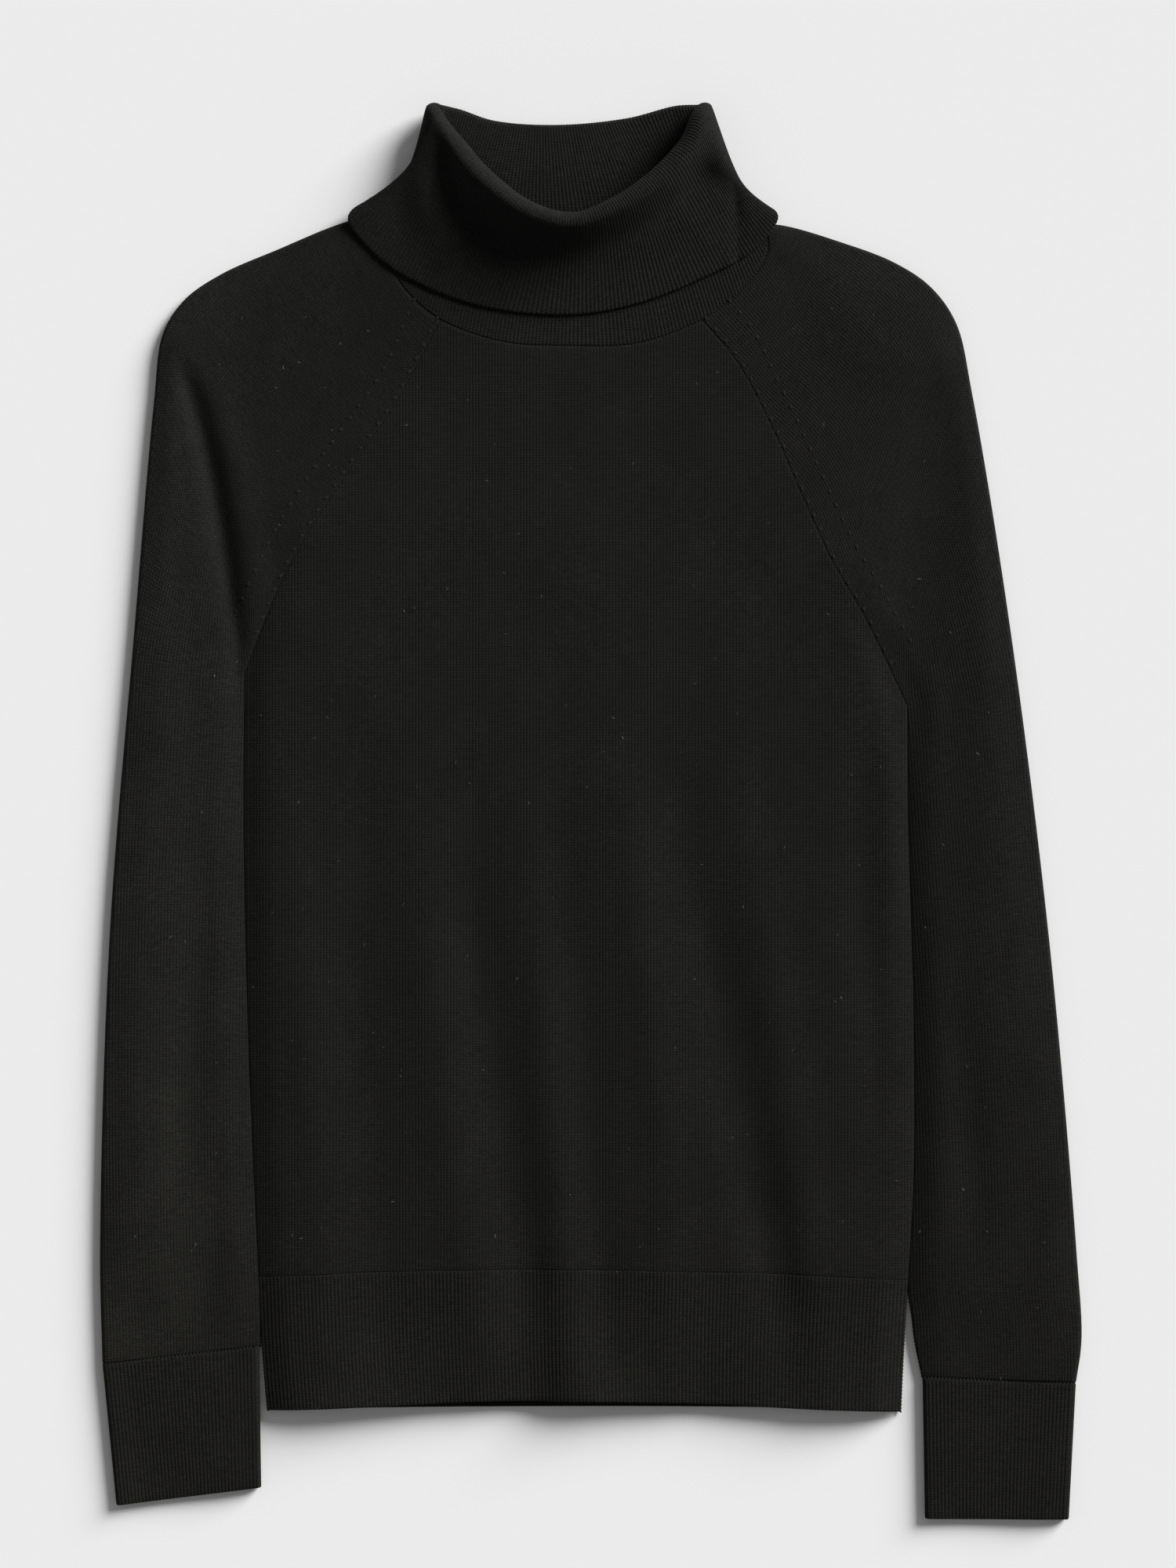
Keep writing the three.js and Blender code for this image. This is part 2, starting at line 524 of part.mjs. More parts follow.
const sweater = new THREE.Group();
for (const [name, [make, finish]] of Object.entries(PIECES)) {
  const mesh = new THREE.Mesh(make(), new THREE.MeshStandardMaterial(finish));
  mesh.name = name;
  sweater.add(mesh);
}
sweater.position.set(-MIDDLE[0], -MIDDLE[1], 0);

export default sweater;
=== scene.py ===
"""A black fine-gauge turtleneck sweater laid flat on a pale floor, seen from straight above.

Sizes are in millimetres where the cloth is drawn, and in metres in the panel and in the meshes.
Left and right are the viewer's, +Y runs up towards the collar, and +Z is up.
"""

import math
from types import SimpleNamespace

import bpy
import numpy as np
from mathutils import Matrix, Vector


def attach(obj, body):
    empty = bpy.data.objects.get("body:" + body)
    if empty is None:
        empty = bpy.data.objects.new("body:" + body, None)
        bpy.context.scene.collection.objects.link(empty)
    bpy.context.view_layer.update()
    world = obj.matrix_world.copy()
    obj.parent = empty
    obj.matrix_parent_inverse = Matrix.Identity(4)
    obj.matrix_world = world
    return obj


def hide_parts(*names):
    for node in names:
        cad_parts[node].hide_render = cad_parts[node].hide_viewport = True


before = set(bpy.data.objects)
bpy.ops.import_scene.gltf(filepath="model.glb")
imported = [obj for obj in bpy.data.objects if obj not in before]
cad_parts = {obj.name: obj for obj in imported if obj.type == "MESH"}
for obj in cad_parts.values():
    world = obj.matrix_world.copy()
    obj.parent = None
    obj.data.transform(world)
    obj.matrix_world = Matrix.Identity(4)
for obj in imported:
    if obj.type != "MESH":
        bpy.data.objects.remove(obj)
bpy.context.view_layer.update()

bl_info = {
    "name": "Turtleneck sweater",
    "version": (1, 0, 0),
    "blender": (4, 5, 0),
    "location": "3D View > Sidebar > Sweater",
    "description": "Builds a black ribbed turtleneck sweater, laid flat, with its floor and light",
    "category": "Object",
}

# Sizes that the cloth shares with its solids, in millimetres
WALL = 1.8  # thickness of the knitted cloth
SEAM = 0.3  # air between two layers
LYING = 2 * WALL + SEAM  # top of a layer that lies on another
LOFT = 7.4  # top of the body and of the upper sleeves
SHOULDER_FOLD = 5.6  # height of a sleeve's folded edge at the shoulder
CUFF_HEIGHT = 5.4
EASE = 18.0  # from an edge to where the cloth has its full loft
CREASE_EASE = 10.0  # from an edge to where a crease has its full height
PARTING_EASE = 25.0  # from where a sleeve leaves the body to where it lies along it
SLEEVE_GAP = 0.1  # air between a sleeve and the body beside it
FOLD_CLEARANCE = 2.0  # a sleeve's folded edge stays this far off the collar
TUCK = 0.35  # how far a knitted edge runs into the one it is linked to
LINK_INSET = 0.4  # from the body's edge to the links along it
RIB_START = 2.0  # from a wall's first row to where its ribs have their full relief
CUFF_SWELL = 0.5  # height of the soft swell on a cuff's top
SWELL_WAVES = (5.3, 2.1)  # in radians, across and along a cuff
SWELL_START = 6  # the swell is full at one sixth of the cuff's width
MIDDLE = np.array([0.65, -1.1, 0.0])  # the outlines' own middle, moved to the origin
MM = 0.001

# Shares of a length, of a row's columns or of a section
CROWDING = 0.55  # how much closer steps stand near both ends
NECK_REACH = 0.3  # of the raglan, over which rows bend to the neck's seam
ARMPIT_START = 0.62  # of the raglan, below which the cloth thins to the armpit
HEM_REACH = 0.25  # of the body's side, over which rows bend to the hem's seam
CUFF_REACH = 0.2  # of the underarm, over which a sleeve flattens to its cuff
HEM_FLATNESS = 0.8  # of a crease that is left at the hem's free edge
TOP_SHARE = 0.55  # of a sleeve's section, its front layer
FOLD_SHARE = 0.15  # of a sleeve's section, its folded outer edge
CUFF_FACE = 0.46  # of a cuff's section, each of its two layers
KNEE_PULL = 0.95  # how closely the collar's layers follow their knees
ROLL_FLATNESS = 0.75  # height of the collar's roll to its radius

# Counts
RIB_COLUMNS = 4  # columns of points to a rib on a tube
HEM_RIB_COLUMNS = 5
HEM_WIDTH = 347  # in millimetres, for the number of its ribs

# Seams and marks, in metres and turns
LINK_SIZE = (0.0021, 0.0012, 0.0017)
LINK_TURN = 0.5
MARK_SIZE = (0.003, 0.0018, 0.0005)
MARK_TURN = -0.35
MARK_INSETS = (2.2, 18)  # in millimetres, from the raglan's edge
MARK_ROWS = (2, 49)  # from the neck to the armpit, in a sleeve of 100 rows

# Stray fibres, in metres
FIBRE_LENGTH = 0.0018
FIBRE_THICKNESS = 0.0002
FIBRE_SEED = 4
FIBRE_LIFT = 0.05  # in millimetres, off the cloth

# Floor, light and camera, in metres and degrees
FLOOR_REACH = 3000  # in millimetres, each way
SKY_STRENGTH = 0.215
SUN_STRENGTH = 6.42
SUN_SPREAD = 30
SUN_HEIGHT = 22
SUN_TURN = 40  # from +X towards +Y
LENS = 100  # in millimetres
SENSOR = 36
FRAME_CENTRE = (-0.0015, 0.0166)
FRAME_LEVEL = 0.005
FRAME_HEIGHT = 0.840


def mix(a, b, t):
    return a + (b - a) * t


def smooth(t):
    t = np.clip(t, 0, 1)
    return t * t * (3 - 2 * t)


def near_ends(t):
    """Steps that are closer at both ends."""
    return mix(t, (1 - np.cos(np.pi * t)) / 2, CROWDING)


def rise(distance, width=EASE):
    """How the cloth rises from an edge to its loft."""
    return np.sin(np.pi / 2 * np.clip(distance / width, 0, 1))


def summed(steps):
    """Running sum, from 0."""
    return np.concatenate([[0], np.cumsum(steps)])


def unit(vectors):
    return vectors / np.linalg.norm(vectors, axis=-1, keepdims=True)


def raised(points, z):
    """The same points at another height."""
    moved = points.copy()
    moved[..., 2] = z
    return moved


def sizes():
    return bpy.context.scene.sweater_sizes


def colours():
    return bpy.context.scene.sweater_colours


class Line:
    """A centripetal Catmull-Rom curve through points in plan or in space."""

    STEPS = 48

    def __init__(self, points, closed=False):
        p = np.array(points, float)
        if p.shape[1] == 2:
            p = np.column_stack([p, np.zeros(len(p))])
        self.closed = closed
        if closed:
            p = np.concatenate([p[-1:], p, p[:2]])
        else:
            p = np.concatenate([2 * p[:1] - p[1:2], p, 2 * p[-1:] - p[-2:-1]])
        t = np.linspace(0, 1, self.STEPS, endpoint=False)[:, None]
        parts = []
        for a, b, c, d in zip(p, p[1:], p[2:], p[3:]):
            before, here, after = (np.linalg.norm(q - r) ** 0.5 for q, r in ((b, a), (c, b), (d, c)))
            start = ((b - a) / before - (c - a) / (before + here) + (c - b) / here) * here
            end = ((c - b) / here - (d - b) / (here + after) + (d - c) / after) * here
            parts.append(
                b + start * t + (3 * (c - b) - 2 * start - end) * t**2 + (2 * (b - c) + start + end) * t**3
            )
        self.points = np.concatenate([*parts, p[-2:-1]])
        self.knots = np.arange(len(self.points)) / self.STEPS
        steps = np.linalg.norm(np.diff(self.points, axis=0), axis=1)
        self.shares = summed(steps) / steps.sum()

    def _at(self, places, where):
        where = np.asarray(where, float)
        return np.stack([np.interp(where, places, self.points[:, k]) for k in range(3)], -1)

    def at(self, knot):
        """Points at numbered stations, going round on a closed line."""
        count = self.knots[-1]
        return self._at(self.knots, np.mod(knot, count) if self.closed else knot)

    def along(self, share):
        """Points at shares of the length."""
        return self._at(self.shares, np.clip(share, 0, 1))

    def tangent(self, share):
        step = 0.002
        return unit(self.along(np.clip(share + step, 0, 1)) - self.along(np.clip(share - step, 0, 1)))


def chain(lines, place):
    """Points along lines that follow each other, the first from 0 to 1, the next from 1 to 2."""
    place = np.asarray(place, float)
    points = lines[0].along(place)
    for number, line in enumerate(lines[1:], start=1):
        points = np.where((place > number)[..., None], line.along(place - number), points)
    return points


def side_of(name, sign, cuff, **outlines):
    lines = {label: Line(points) for label, points in outlines.items()}
    return SimpleNamespace(name=name, sign=sign, cuff=np.array(cuff, float), **lines)


# Outlines in plan, from the neck down, and a cuff's inner and outer top and inner and outer end
LEFT = side_of(
    "left", -1,
    raglan_front=[
        (-79.8, 263.8), (-105.8, 217.1), (-131, 180.6), (-154.6, 144.5), (-168.8, 116.3), (-184.8, 75.2),
    ],
    raglan_back=[
        (-74.3, 303.2), (-107.5, 238.1), (-131, 198.2), (-154.6, 156.2), (-168.8, 122.6), (-184.8, 75.2),
    ],
    body_side=[(-184.8, 75.2), (-185.2, -10), (-183.1, -110.5), (-179.8, -194.5), (-177.2, -248.6)],
    hem_side=[(-177.2, -248.6), (-175.1, -290), (-172.6, -320)],
    sleeve_outer=[
        (-107.1, 322), (-121.8, 320.5), (-135.2, 315.8), (-164.6, 303.2), (-198.2, 288.5), (-217.6, 274.7),
        (-228.9, 256.6), (-233.5, 221.3), (-244, 99.5), (-257.5, -68.5), (-262.5, -236.5), (-261.2, -295),
    ],
    underarm=[(-186.6, 75.2), (-187, -10), (-185, -110.5), (-181.7, -194.5), (-177.2, -285.7)],
    cuff=[(-177.2, -286.3), (-261.2, -295.6), (-176, -361.6), (-253.7, -371.3)],
)
RIGHT = side_of(
    "right", 1,
    raglan_front=[
        (60.1, 263.8), (79, 241.1), (98.3, 205), (112.6, 172.2), (129.8, 134.8), (148.3, 102.9),
        (170.1, 57.5),
    ],
    raglan_back=[
        (55.9, 303.2), (74.8, 267.5), (95.8, 227.6), (112.6, 187.7), (129.8, 145.7), (148.3, 107.9),
        (170.1, 57.5),
    ],
    body_side=[(170.1, 57.5), (170.5, 0), (173.5, -110.5), (173.5, -194.5), (170.5, -250.3)],
    hem_side=[(170.5, -250.3), (168.4, -285), (166.7, -320.9)],
    sleeve_outer=[
        (92, 319), (104.2, 316.3), (129.4, 307.9), (163, 295.3), (183.1, 281.8), (196.6, 262.5),
        (205, 225.5), (225.5, 99.5), (246.5, -68.5), (261.2, -236.5), (263.8, -282.7), (260.8, -305.5),
    ],
    underarm=[(172, 57.5), (172.4, 0), (175.5, -110.5), (175.5, -194.5), (173.5, -274), (178.5, -302.5)],
    cuff=[(178.5, -303.1), (260.8, -306.1), (179.8, -378.4), (257, -378.8)],
)
HEM_SEAM = Line([(-177.2, -248.6), (-75.2, -244.9), (74.8, -246.1), (170.5, -250.3)])
HEM_ENDS = {
    "front": Line([
        (-172.6, -320), (-105.8, -317.1), (-40, -314.8), (45.4, -315.8), (112.6, -318.8), (166.7, -320.9),
    ]),
    "back": Line([(-172.6, -320), (-60, -318.6), (80, -318.8), (166.7, -320.9)]),
}
# Where a sleeve's rows end, on the raglan seam and underarm and on the outer edge
SLEEVE_ROWS = np.array([
    (0, 0), (0.25, 0.06), (0.5, 0.15), (0.6, 0.186), (0.69, 0.215), (0.8, 0.275), (0.9, 0.35),
    (1, 0.46), (2, 1),
])

# Creases of the laid cloth: half width, then points with their height, below zero in a trough
CREASES = [
    (17, [
        (-123, 60, 0), (-122, -30, -1.4), (-120, -110, -1.9), (-114, -190, -1.6), (-110, -260, -1.5),
        (-110, -322, -0.9),
    ]),
    (15, [
        (-62, 60, 0), (-63, -10, -1.4), (-63, -60, -2.3), (-52, -120, -2.2), (-42, -190, -2.4),
        (-36, -240, -2.9), (-27, -322, -1.6),
    ]),
    (12, [
        (-18, 55, 0), (-14, -20, -1.0), (-3, -110, -1.5), (1, -180, -1.2), (5, -230, -1.7),
        (14, -322, -0.8),
    ]),
    (15, [
        (46, 50, 0), (53, -20, -1.3), (66, -80, -2.6), (77, -140, -2.3), (92, -215, -2.8),
        (105, -270, -2.4), (108, -322, -1.2),
    ]),
    (12, [
        (145, 80, 0), (146, 0, -1.0), (147, -50, -1.4), (155, -132, -1.3), (158, -200, -1.0),
        (158, -250, -0.2),
    ]),
    (5.5, [
        (-222, 246, 0), (-213.5, 226, -2.3), (-206, 201, -3.1), (-200.5, 174, -3.3), (-195, 142, -3.3),
        (-190.5, 106, -3.0), (-187, 80, -2.2), (-185, 58, 0),
    ]),
    (8, [
        (-206, 240, 0), (-197, 218, 0.9), (-190, 190, 1.3), (-184, 160, 1.4), (-179, 128, 1.2),
        (-177, 100, 0.5), (-176, 86, 0),
    ]),
    (9, [(-228, 215, 0), (-219, 175, 0.7), (-210, 130, 0.8), (-204, 80, 0.6), (-200, 30, 0)]),
    (20, [
        (186, 245, 0), (187, 200, -2.0), (182, 160, -2.8), (178, 116, -2.8), (172, 60, -1.6),
        (170, 20, 0),
    ]),
    (13, [
        (-164, 70, 0), (-162, 0, 1.0), (-158, -60, 1.3), (-150, -150, 1.3), (-146, -250, 1.0),
        (-146, -322, 0.8),
    ]),
    (13, [
        (-92, 10, 0), (-90, -50, 0.9), (-82, -130, 1.4), (-70, -215, 1.3), (-62, -270, 1.2),
        (-60, -322, 0.8),
    ]),
    (10, [(-36, 0, 0), (-30, -60, 0.8), (-22, -150, 1.2), (-15, -230, 1.0), (-10, -300, 0.6)]),
    (13, [
        (10, 60, 0), (20, -10, 1.0), (26, -60, 1.5), (34, -130, 1.6), (42, -200, 1.3), (45, -322, 1.3),
    ]),
    (12, [
        (78, 50, 0), (85, -20, 0.9), (98, -90, 1.2), (106, -150, 1.4), (116, -220, 1.1),
        (124, -300, 0.6),
    ]),
    (9, [(165, 70, 0), (164, 20, 1.0), (165, -30, 0.9), (163, -80, 0)]),
    (9, [(172, 200, 0), (170, 150, -0.8), (166, 110, -0.9), (164, 90, 0)]),
    (22, [(-40, 215, 0), (-70, 150, -0.7), (-110, 95, -0.8), (-150, 40, 0)]),
    (24, [(40, 210, 0), (70, 150, -0.6), (105, 95, -0.8), (140, 55, 0)]),
    (26, [(-20, 180, 0), (-8, 110, 0.6), (4, 50, 0)]),
    (15, [(-214, 130, 0), (-222, 40, 0.9), (-228, -60, 0.7), (-232, -140, 0)]),
    (11, [(-206, -20, 0), (-212, -90, -1.0), (-216, -160, -1.2), (-214, -230, 0)]),
    (12, [(-238, -120, 0), (-236, -190, 0.8), (-228, -260, 0.9), (-222, -290, 0)]),
    (10, [(-196, -150, 0), (-200, -220, -0.9), (-208, -280, 0)]),
    (11, [(199, 130, 0), (196, 60, -0.7), (192, 0, 0)]),
    (12, [(172, 187, 0), (169, 150, 0.9), (165, 104, 0)]),
    (14, [(206, 60, 0), (212, -30, 0.8), (218, -120, 0.9), (222, -200, 0)]),
    (10, [(196, -60, 0), (200, -130, -0.9), (206, -200, -1.1), (210, -260, 0)]),
    (12, [(240, -140, 0), (240, -210, -0.8), (232, -280, 0)]),
    (18, [(-120, 300, 0), (-150, 272, 0.8), (-185, 245, 0.9), (-205, 215, 0)]),
    (18, [(110, 296, 0), (135, 270, 0.8), (160, 240, 0.7), (172, 215, 0)]),
]
# Where the front hem lifts off the back one: x, half width, height
HEM_LIFTS = np.array([(-127, 44, 5.6), (3, 32, 6.2), (121, 38, 4.0)])

# Creases in the fall of the collar
COLLAR_CREASES = [
    (2.4, [(77.5, 341, -0.4), (79, 322, -1.5), (79.4, 300, -1.1), (79, 290, -0.6)]),
    (5, [(-104, 331, 0), (-99, 322, -1.2), (-97, 312, -0.8), (-98, 300, 0)]),
    (5, [
        (-10, 298, -0.6), (12, 306, -1), (33, 318, -1.2), (50, 331, -1.4), (64, 343, -1.6),
        (70, 350, -0.8),
    ]),
    (8, [(8, 294, 0), (30, 303, 1.2), (52, 317, 2.2), (67, 330, 2.4), (74, 338, 1.2)]),
    (5, [
        (-22, 296, -0.6), (-47, 306, -1), (-64, 318, -1.2), (-74, 336, -1.4), (-78, 351, -1.2),
        (-79, 362, -0.4),
    ]),
    (7, [(-60, 294, 0), (-78, 307, 1.2), (-89, 325, 2), (-90, 340, 2), (-88, 354, 1)]),
]

# Stations of the collar, from the front centre past the left side and the back
# Each has its seam, inner knee, fold, outer knee and free edge in space, then the roll's radius
COLLAR = np.array([
    (-11.3, 249.9, 6.5, -9.6, 304, 7.4, -9, 316.6, 31, -9.8, 297, 10.4, -11.3, 266.3, 8.4, 4.2),
    (-47, 252, 6.5, -37, 312.5, 7.4, -32.6, 322.8, 30.5, -43, 305.5, 10.4, -56.3, 270.5, 8.3, 5),
    (-79.8, 263.8, 6.5, -61.5, 333.5, 7.3, -56.6, 342.7, 24.8, -69.5, 327.5, 10.8, -89, 281.8, 8.2, 5.9),
    (-99.5, 281, 6.5, -73.5, 351, 7.2, -69.2, 359.8, 18, -82, 345.5, 11.8, -113.8, 297.4, 8.2, 6.2),
    (-109, 300, 6.3, -86, 346, 6.8, -78.8, 373.5, 14.2, -93.5, 343.5, 11.6, -129.4, 318.4, 8, 5.8),
    (-107, 318, 5.4, -88.5, 342, 4.8, -81.5, 379, 12, -96.5, 336, 6.5, -121, 326.5, 5.5, 4.6),
    (-105, 318.5, 1.8, -87, 342, 4.2, -80.5, 379.4, 7, -94.5, 337, 2.2, -111, 332, 1.4, 3),
    (-90, 309, 0.9, -77.5, 342, 4.8, -69, 377, 4.2, -76, 352, 0.9, -86.9, 330, 0.9, 2.1),
    (-74.3, 300, 0.9, -62.7, 334.6, 5.2, -51.2, 371.3, 2.7, -53.3, 342.6, 0.9, -55.4, 316, 0.9, 1.8),
    (-9.2, 293, 0.9, -13.4, 330.2, 5.2, -17.6, 369, 2.7, -13.4, 339.7, 0.9, -9.2, 312, 0.9, 1.8),
    (55.9, 300, 0.9, 38, 335.5, 5.2, 20.2, 372.6, 2.7, 28.6, 343.5, 0.9, 37, 316, 0.9, 1.8),
    (74, 307, 0.9, 58, 341.3, 4.8, 46, 379, 4.2, 55, 353, 0.9, 66.4, 331, 0.9, 2.1),
    (90.5, 315.5, 1.8, 68, 342, 4.2, 59, 379.2, 7, 77, 336.5, 2.2, 83, 333, 1.4, 3),
    (92.5, 315, 5.4, 69.5, 342, 4.8, 59.5, 378.8, 14, 80, 333.5, 6.5, 94, 325, 5.5, 4.2),
    (95, 300, 6.3, 69.5, 342, 6.8, 56.5, 374, 20.5, 77.5, 335.5, 9.8, 101, 319, 8, 5.4),
    (79.8, 279.3, 6.5, 56, 346.5, 7.2, 49.3, 355.8, 26, 62.5, 341, 10.2, 86.5, 300, 8.3, 5.6),
    (60.1, 263.8, 6.5, 40.3, 330, 7.3, 34.8, 340, 28.5, 45.5, 325, 10.4, 64.3, 287.7, 8.3, 5.2),
    (25.2, 251.2, 6.5, 17.2, 314.3, 7.4, 13.7, 324.8, 30.5, 20, 307.5, 10.4, 25.2, 272.2, 8.4, 4.6),
])
STATIONS = len(COLLAR)
NECK_SEAM, STAND_KNEE, COLLAR_FOLD, FALL_KNEE, COLLAR_EDGE = (
    Line(COLLAR[:, k : k + 3], closed=True) for k in range(0, 15, 3)
)
SIDES = (LEFT, RIGHT)
LEFT.neck = (2, 5.5, 8)  # stations at the front raglan, the shoulder's fold and the back raglan
RIGHT.neck = (16, 12.5, 10)
LEFT.parting = -294  # where, going down, the sleeve leaves the body's side
RIGHT.parting = -274
for side in SIDES:
    side.side_points = np.concatenate([side.body_side.points, side.hem_side.points[1:]])


# Where the cloth lies: each function gives the middle surface of a wall for arrays of rows and columns

def crease_height(x, y, creases=CREASES):
    """The soft troughs and ridges at points of the top layer."""
    total = np.zeros(np.shape(x))
    for half, points in creases:
        points = np.array(points, float)
        nearest = np.full(np.shape(x), np.inf)
        height = np.zeros(np.shape(x))
        for a, b in zip(points, points[1:]):
            run = b[:2] - a[:2]
            t = np.clip(((x - a[0]) * run[0] + (y - a[1]) * run[1]) / (run @ run), 0, 1)
            distance = np.hypot(x - a[0] - t * run[0], y - a[1] - t * run[1])
            closer = distance < nearest
            nearest = np.where(closer, distance, nearest)
            height = np.where(closer, mix(a[2], b[2], t), height)
        total += height * np.exp(-((nearest / half) ** 2))
    return total * sizes().crease_strength


def ring_point(ring, station):
    p = ring.at(station)
    return raised(p, np.maximum(p[..., 2], WALL / 2))


def seam_height(row):
    """Height of the front raglan seam, low at the armpit and lofty at the neck."""
    return mix(LOFT, LYING, smooth((row - ARMPIT_START) / (1 - ARMPIT_START)))


def body_edge(side, row, face):
    raglan = side.raglan_front if face == "front" else side.raglan_back
    p = chain([raglan, side.body_side, side.hem_side], row)
    return p + np.array([side.sign * TUCK, 0, 0])


def body_point(row, u, face):
    left = body_edge(LEFT, row, face)
    right = body_edge(RIGHT, row, face)
    p = mix(left, right, u[..., None])
    ends = (LEFT.neck[0], RIGHT.neck[0] - STATIONS) if face == "front" else (LEFT.neck[2], RIGHT.neck[2])
    neck = ring_point(NECK_SEAM, mix(*ends, u))
    flat = mix(body_edge(LEFT, 0, face), body_edge(RIGHT, 0, face), u[..., None])
    pull = (1 - np.clip(row / NECK_REACH, 0, 1)) ** 2
    p[..., 1] += (neck[..., 1] - flat[..., 1]) * pull
    straight = mix(body_edge(LEFT, 2, face)[1], body_edge(RIGHT, 2, face)[1], u)
    to_hem = smooth((row - 2 + HEM_REACH) / HEM_REACH)
    p[..., 1] += (HEM_SEAM.along(u)[..., 1] - TUCK - straight) * to_hem
    if face == "back":
        return raised(p, WALL / 2)
    edge = np.where(row <= 1, seam_height(row), LYING)
    distance = np.minimum(p[..., 0] - left[..., 0], right[..., 0] - p[..., 0])
    creases = crease_height(p[..., 0], p[..., 1]) * rise(distance, CREASE_EASE)
    return raised(p, np.maximum(mix(edge, LOFT, rise(distance)) + creases, LYING) - WALL / 2)


def hem_point(v, u, face):
    left = body_edge(LEFT, 2 + v, face)
    right = body_edge(RIGHT, 2 + v, face)
    x = mix(left[..., 0], right[..., 0], u)
    y = mix(HEM_SEAM.along(u)[..., 1] + TUCK, HEM_ENDS[face].along(u)[..., 1], v)
    p = np.stack([x, y, np.full(np.shape(x), WALL / 2)], -1)
    if face == "back":
        return p
    distance = np.minimum(x - left[..., 0], right[..., 0] - x)
    lift = sum(h * np.exp(-(((x - centre) / half) ** 2)) for centre, half, h in HEM_LIFTS)
    creases = crease_height(x, y) * rise(distance, CREASE_EASE) * mix(1, HEM_FLATNESS, v)
    height = np.maximum(mix(LYING, LOFT, rise(distance)) + creases, LYING)
    return raised(p, height - WALL / 2 + lift * v**2)


def sleeve_section(side, row, u):
    """A sleeve as one wall bent into a C: front layer, folded outer edge, back layer."""
    outer_share = np.interp(row, SLEEVE_ROWS[:, 0], SLEEVE_ROWS[:, 1])
    inner = chain([side.raglan_front, side.underarm], row)
    inner_back = chain([side.raglan_back, side.underarm], row)
    inner[..., 0] -= side.sign * TUCK
    inner_back[..., 0] -= side.sign * TUCK
    beside = np.where(row > 1, smooth((inner[..., 1] - side.parting) / PARTING_EASE), 0)
    body = side.side_points[::-1]
    touch = np.interp(inner[..., 1], body[:, 1], body[:, 0]) + side.sign * SLEEVE_GAP
    for edge_line in (inner, inner_back):
        edge_line[..., 0] = mix(edge_line[..., 0], touch, beside)
    tangent = side.sleeve_outer.tangent(outer_share)
    outward = side.sign * np.stack([-tangent[..., 1], tangent[..., 0], 0 * tangent[..., 0]], -1)
    fold_height = mix(SHOULDER_FOLD, CUFF_HEIGHT, np.clip(row - 1, 0, 1))
    centre = side.sleeve_outer.along(outer_share) - outward * fold_height[..., None] / 2

    s = near_ends(np.clip(u / TOP_SHARE, 0, 1))
    front = mix(inner, centre, s[..., None])
    length = np.linalg.norm(centre - inner, axis=-1)
    loft = mix(LOFT, CUFF_HEIGHT, smooth((row - 2 + CUFF_REACH) / CUFF_REACH))
    edge = np.where(row <= 1, seam_height(row), LYING)
    from_seam, from_fold = s * length, (1 - s) * length
    height = np.minimum(mix(edge, loft, rise(from_seam)), mix(fold_height, loft, rise(from_fold)))
    creases = crease_height(front[..., 0], front[..., 1]) * rise(from_fold) * rise(from_seam, CREASE_EASE)
    front = raised(front, np.maximum(height + creases, LYING) - WALL / 2)

    angle = np.pi * (u - TOP_SHARE) / FOLD_SHARE
    radius = (fold_height - WALL) / 2
    fold = centre + outward * (radius * np.sin(angle))[..., None]
    fold = raised(fold, fold_height / 2 + radius * np.cos(angle))

    back = mix(centre, inner_back, ((u - TOP_SHARE - FOLD_SHARE) / (1 - TOP_SHARE - FOLD_SHARE))[..., None])
    back = raised(back, WALL / 2)
    u = u[..., None]
    return np.where(u < TOP_SHARE, front, np.where(u < TOP_SHARE + FOLD_SHARE, fold, back))


def sleeve_point(side, row, u):
    """The same, its neck end pulled to the neck's seam."""
    p = sleeve_section(side, row, u)
    front, fold, back = side.neck
    middle = TOP_SHARE + FOLD_SHARE / 2
    after = (u - middle) / (1 - middle)
    station = np.where(u < middle, mix(front, fold, u / middle), mix(fold, back, after))
    start = sleeve_section(side, 0 * row, u)
    down = unit(raised(sleeve_section(side, 0 * row + NECK_REACH, u) - start, 0))
    clear = FOLD_CLEARANCE * np.exp(-(((u - middle) / FOLD_SHARE) ** 2))
    target = ring_point(NECK_SEAM, station) + down * clear[..., None]
    pull = (1 - np.clip(row / NECK_REACH, 0, 1)) ** 2
    return p + (target - start) * pull[..., None]


def cuff_point(side, v, u):
    """A flattened tube, its top half first when u runs from 0 to 0.5."""
    inner_top, outer_top, inner_end, outer_end = (np.append(corner, 0) for corner in side.cuff)
    down = v[..., None]
    inner = mix(inner_top + [0, TUCK, 0], inner_end, down)
    outer = mix(outer_top + [0, TUCK, 0], outer_end, down)
    across = unit(outer - inner)
    radius = (CUFF_HEIGHT - WALL) / 2
    inner = inner + across * CUFF_HEIGHT / 2
    outer = outer - across * CUFF_HEIGHT / 2
    knots = [0, CUFF_FACE, 0.5, 0.5 + CUFF_FACE, 1]
    turn = np.interp(u, knots, [0, 0, 1, 1, 2])
    step = np.interp(u, knots, [0, 1, 1, 0, 0])
    p = mix(inner, outer, step[..., None]) + across * (radius * np.sin(np.pi * turn))[..., None]
    flat = smooth(np.minimum(step, 1 - step) * SWELL_START)
    swell = flat * CUFF_SWELL * np.sin(SWELL_WAVES[0] * step + SWELL_WAVES[1] * v + side.sign)
    return raised(p, CUFF_HEIGHT / 2 + (radius + swell * (turn < 1)) * np.cos(np.pi * turn))


def bezier(a, b, c, d, t):
    return a * (1 - t) ** 3 + 3 * b * t * (1 - t) ** 2 + 3 * c * t**2 * (1 - t) + d * t**3


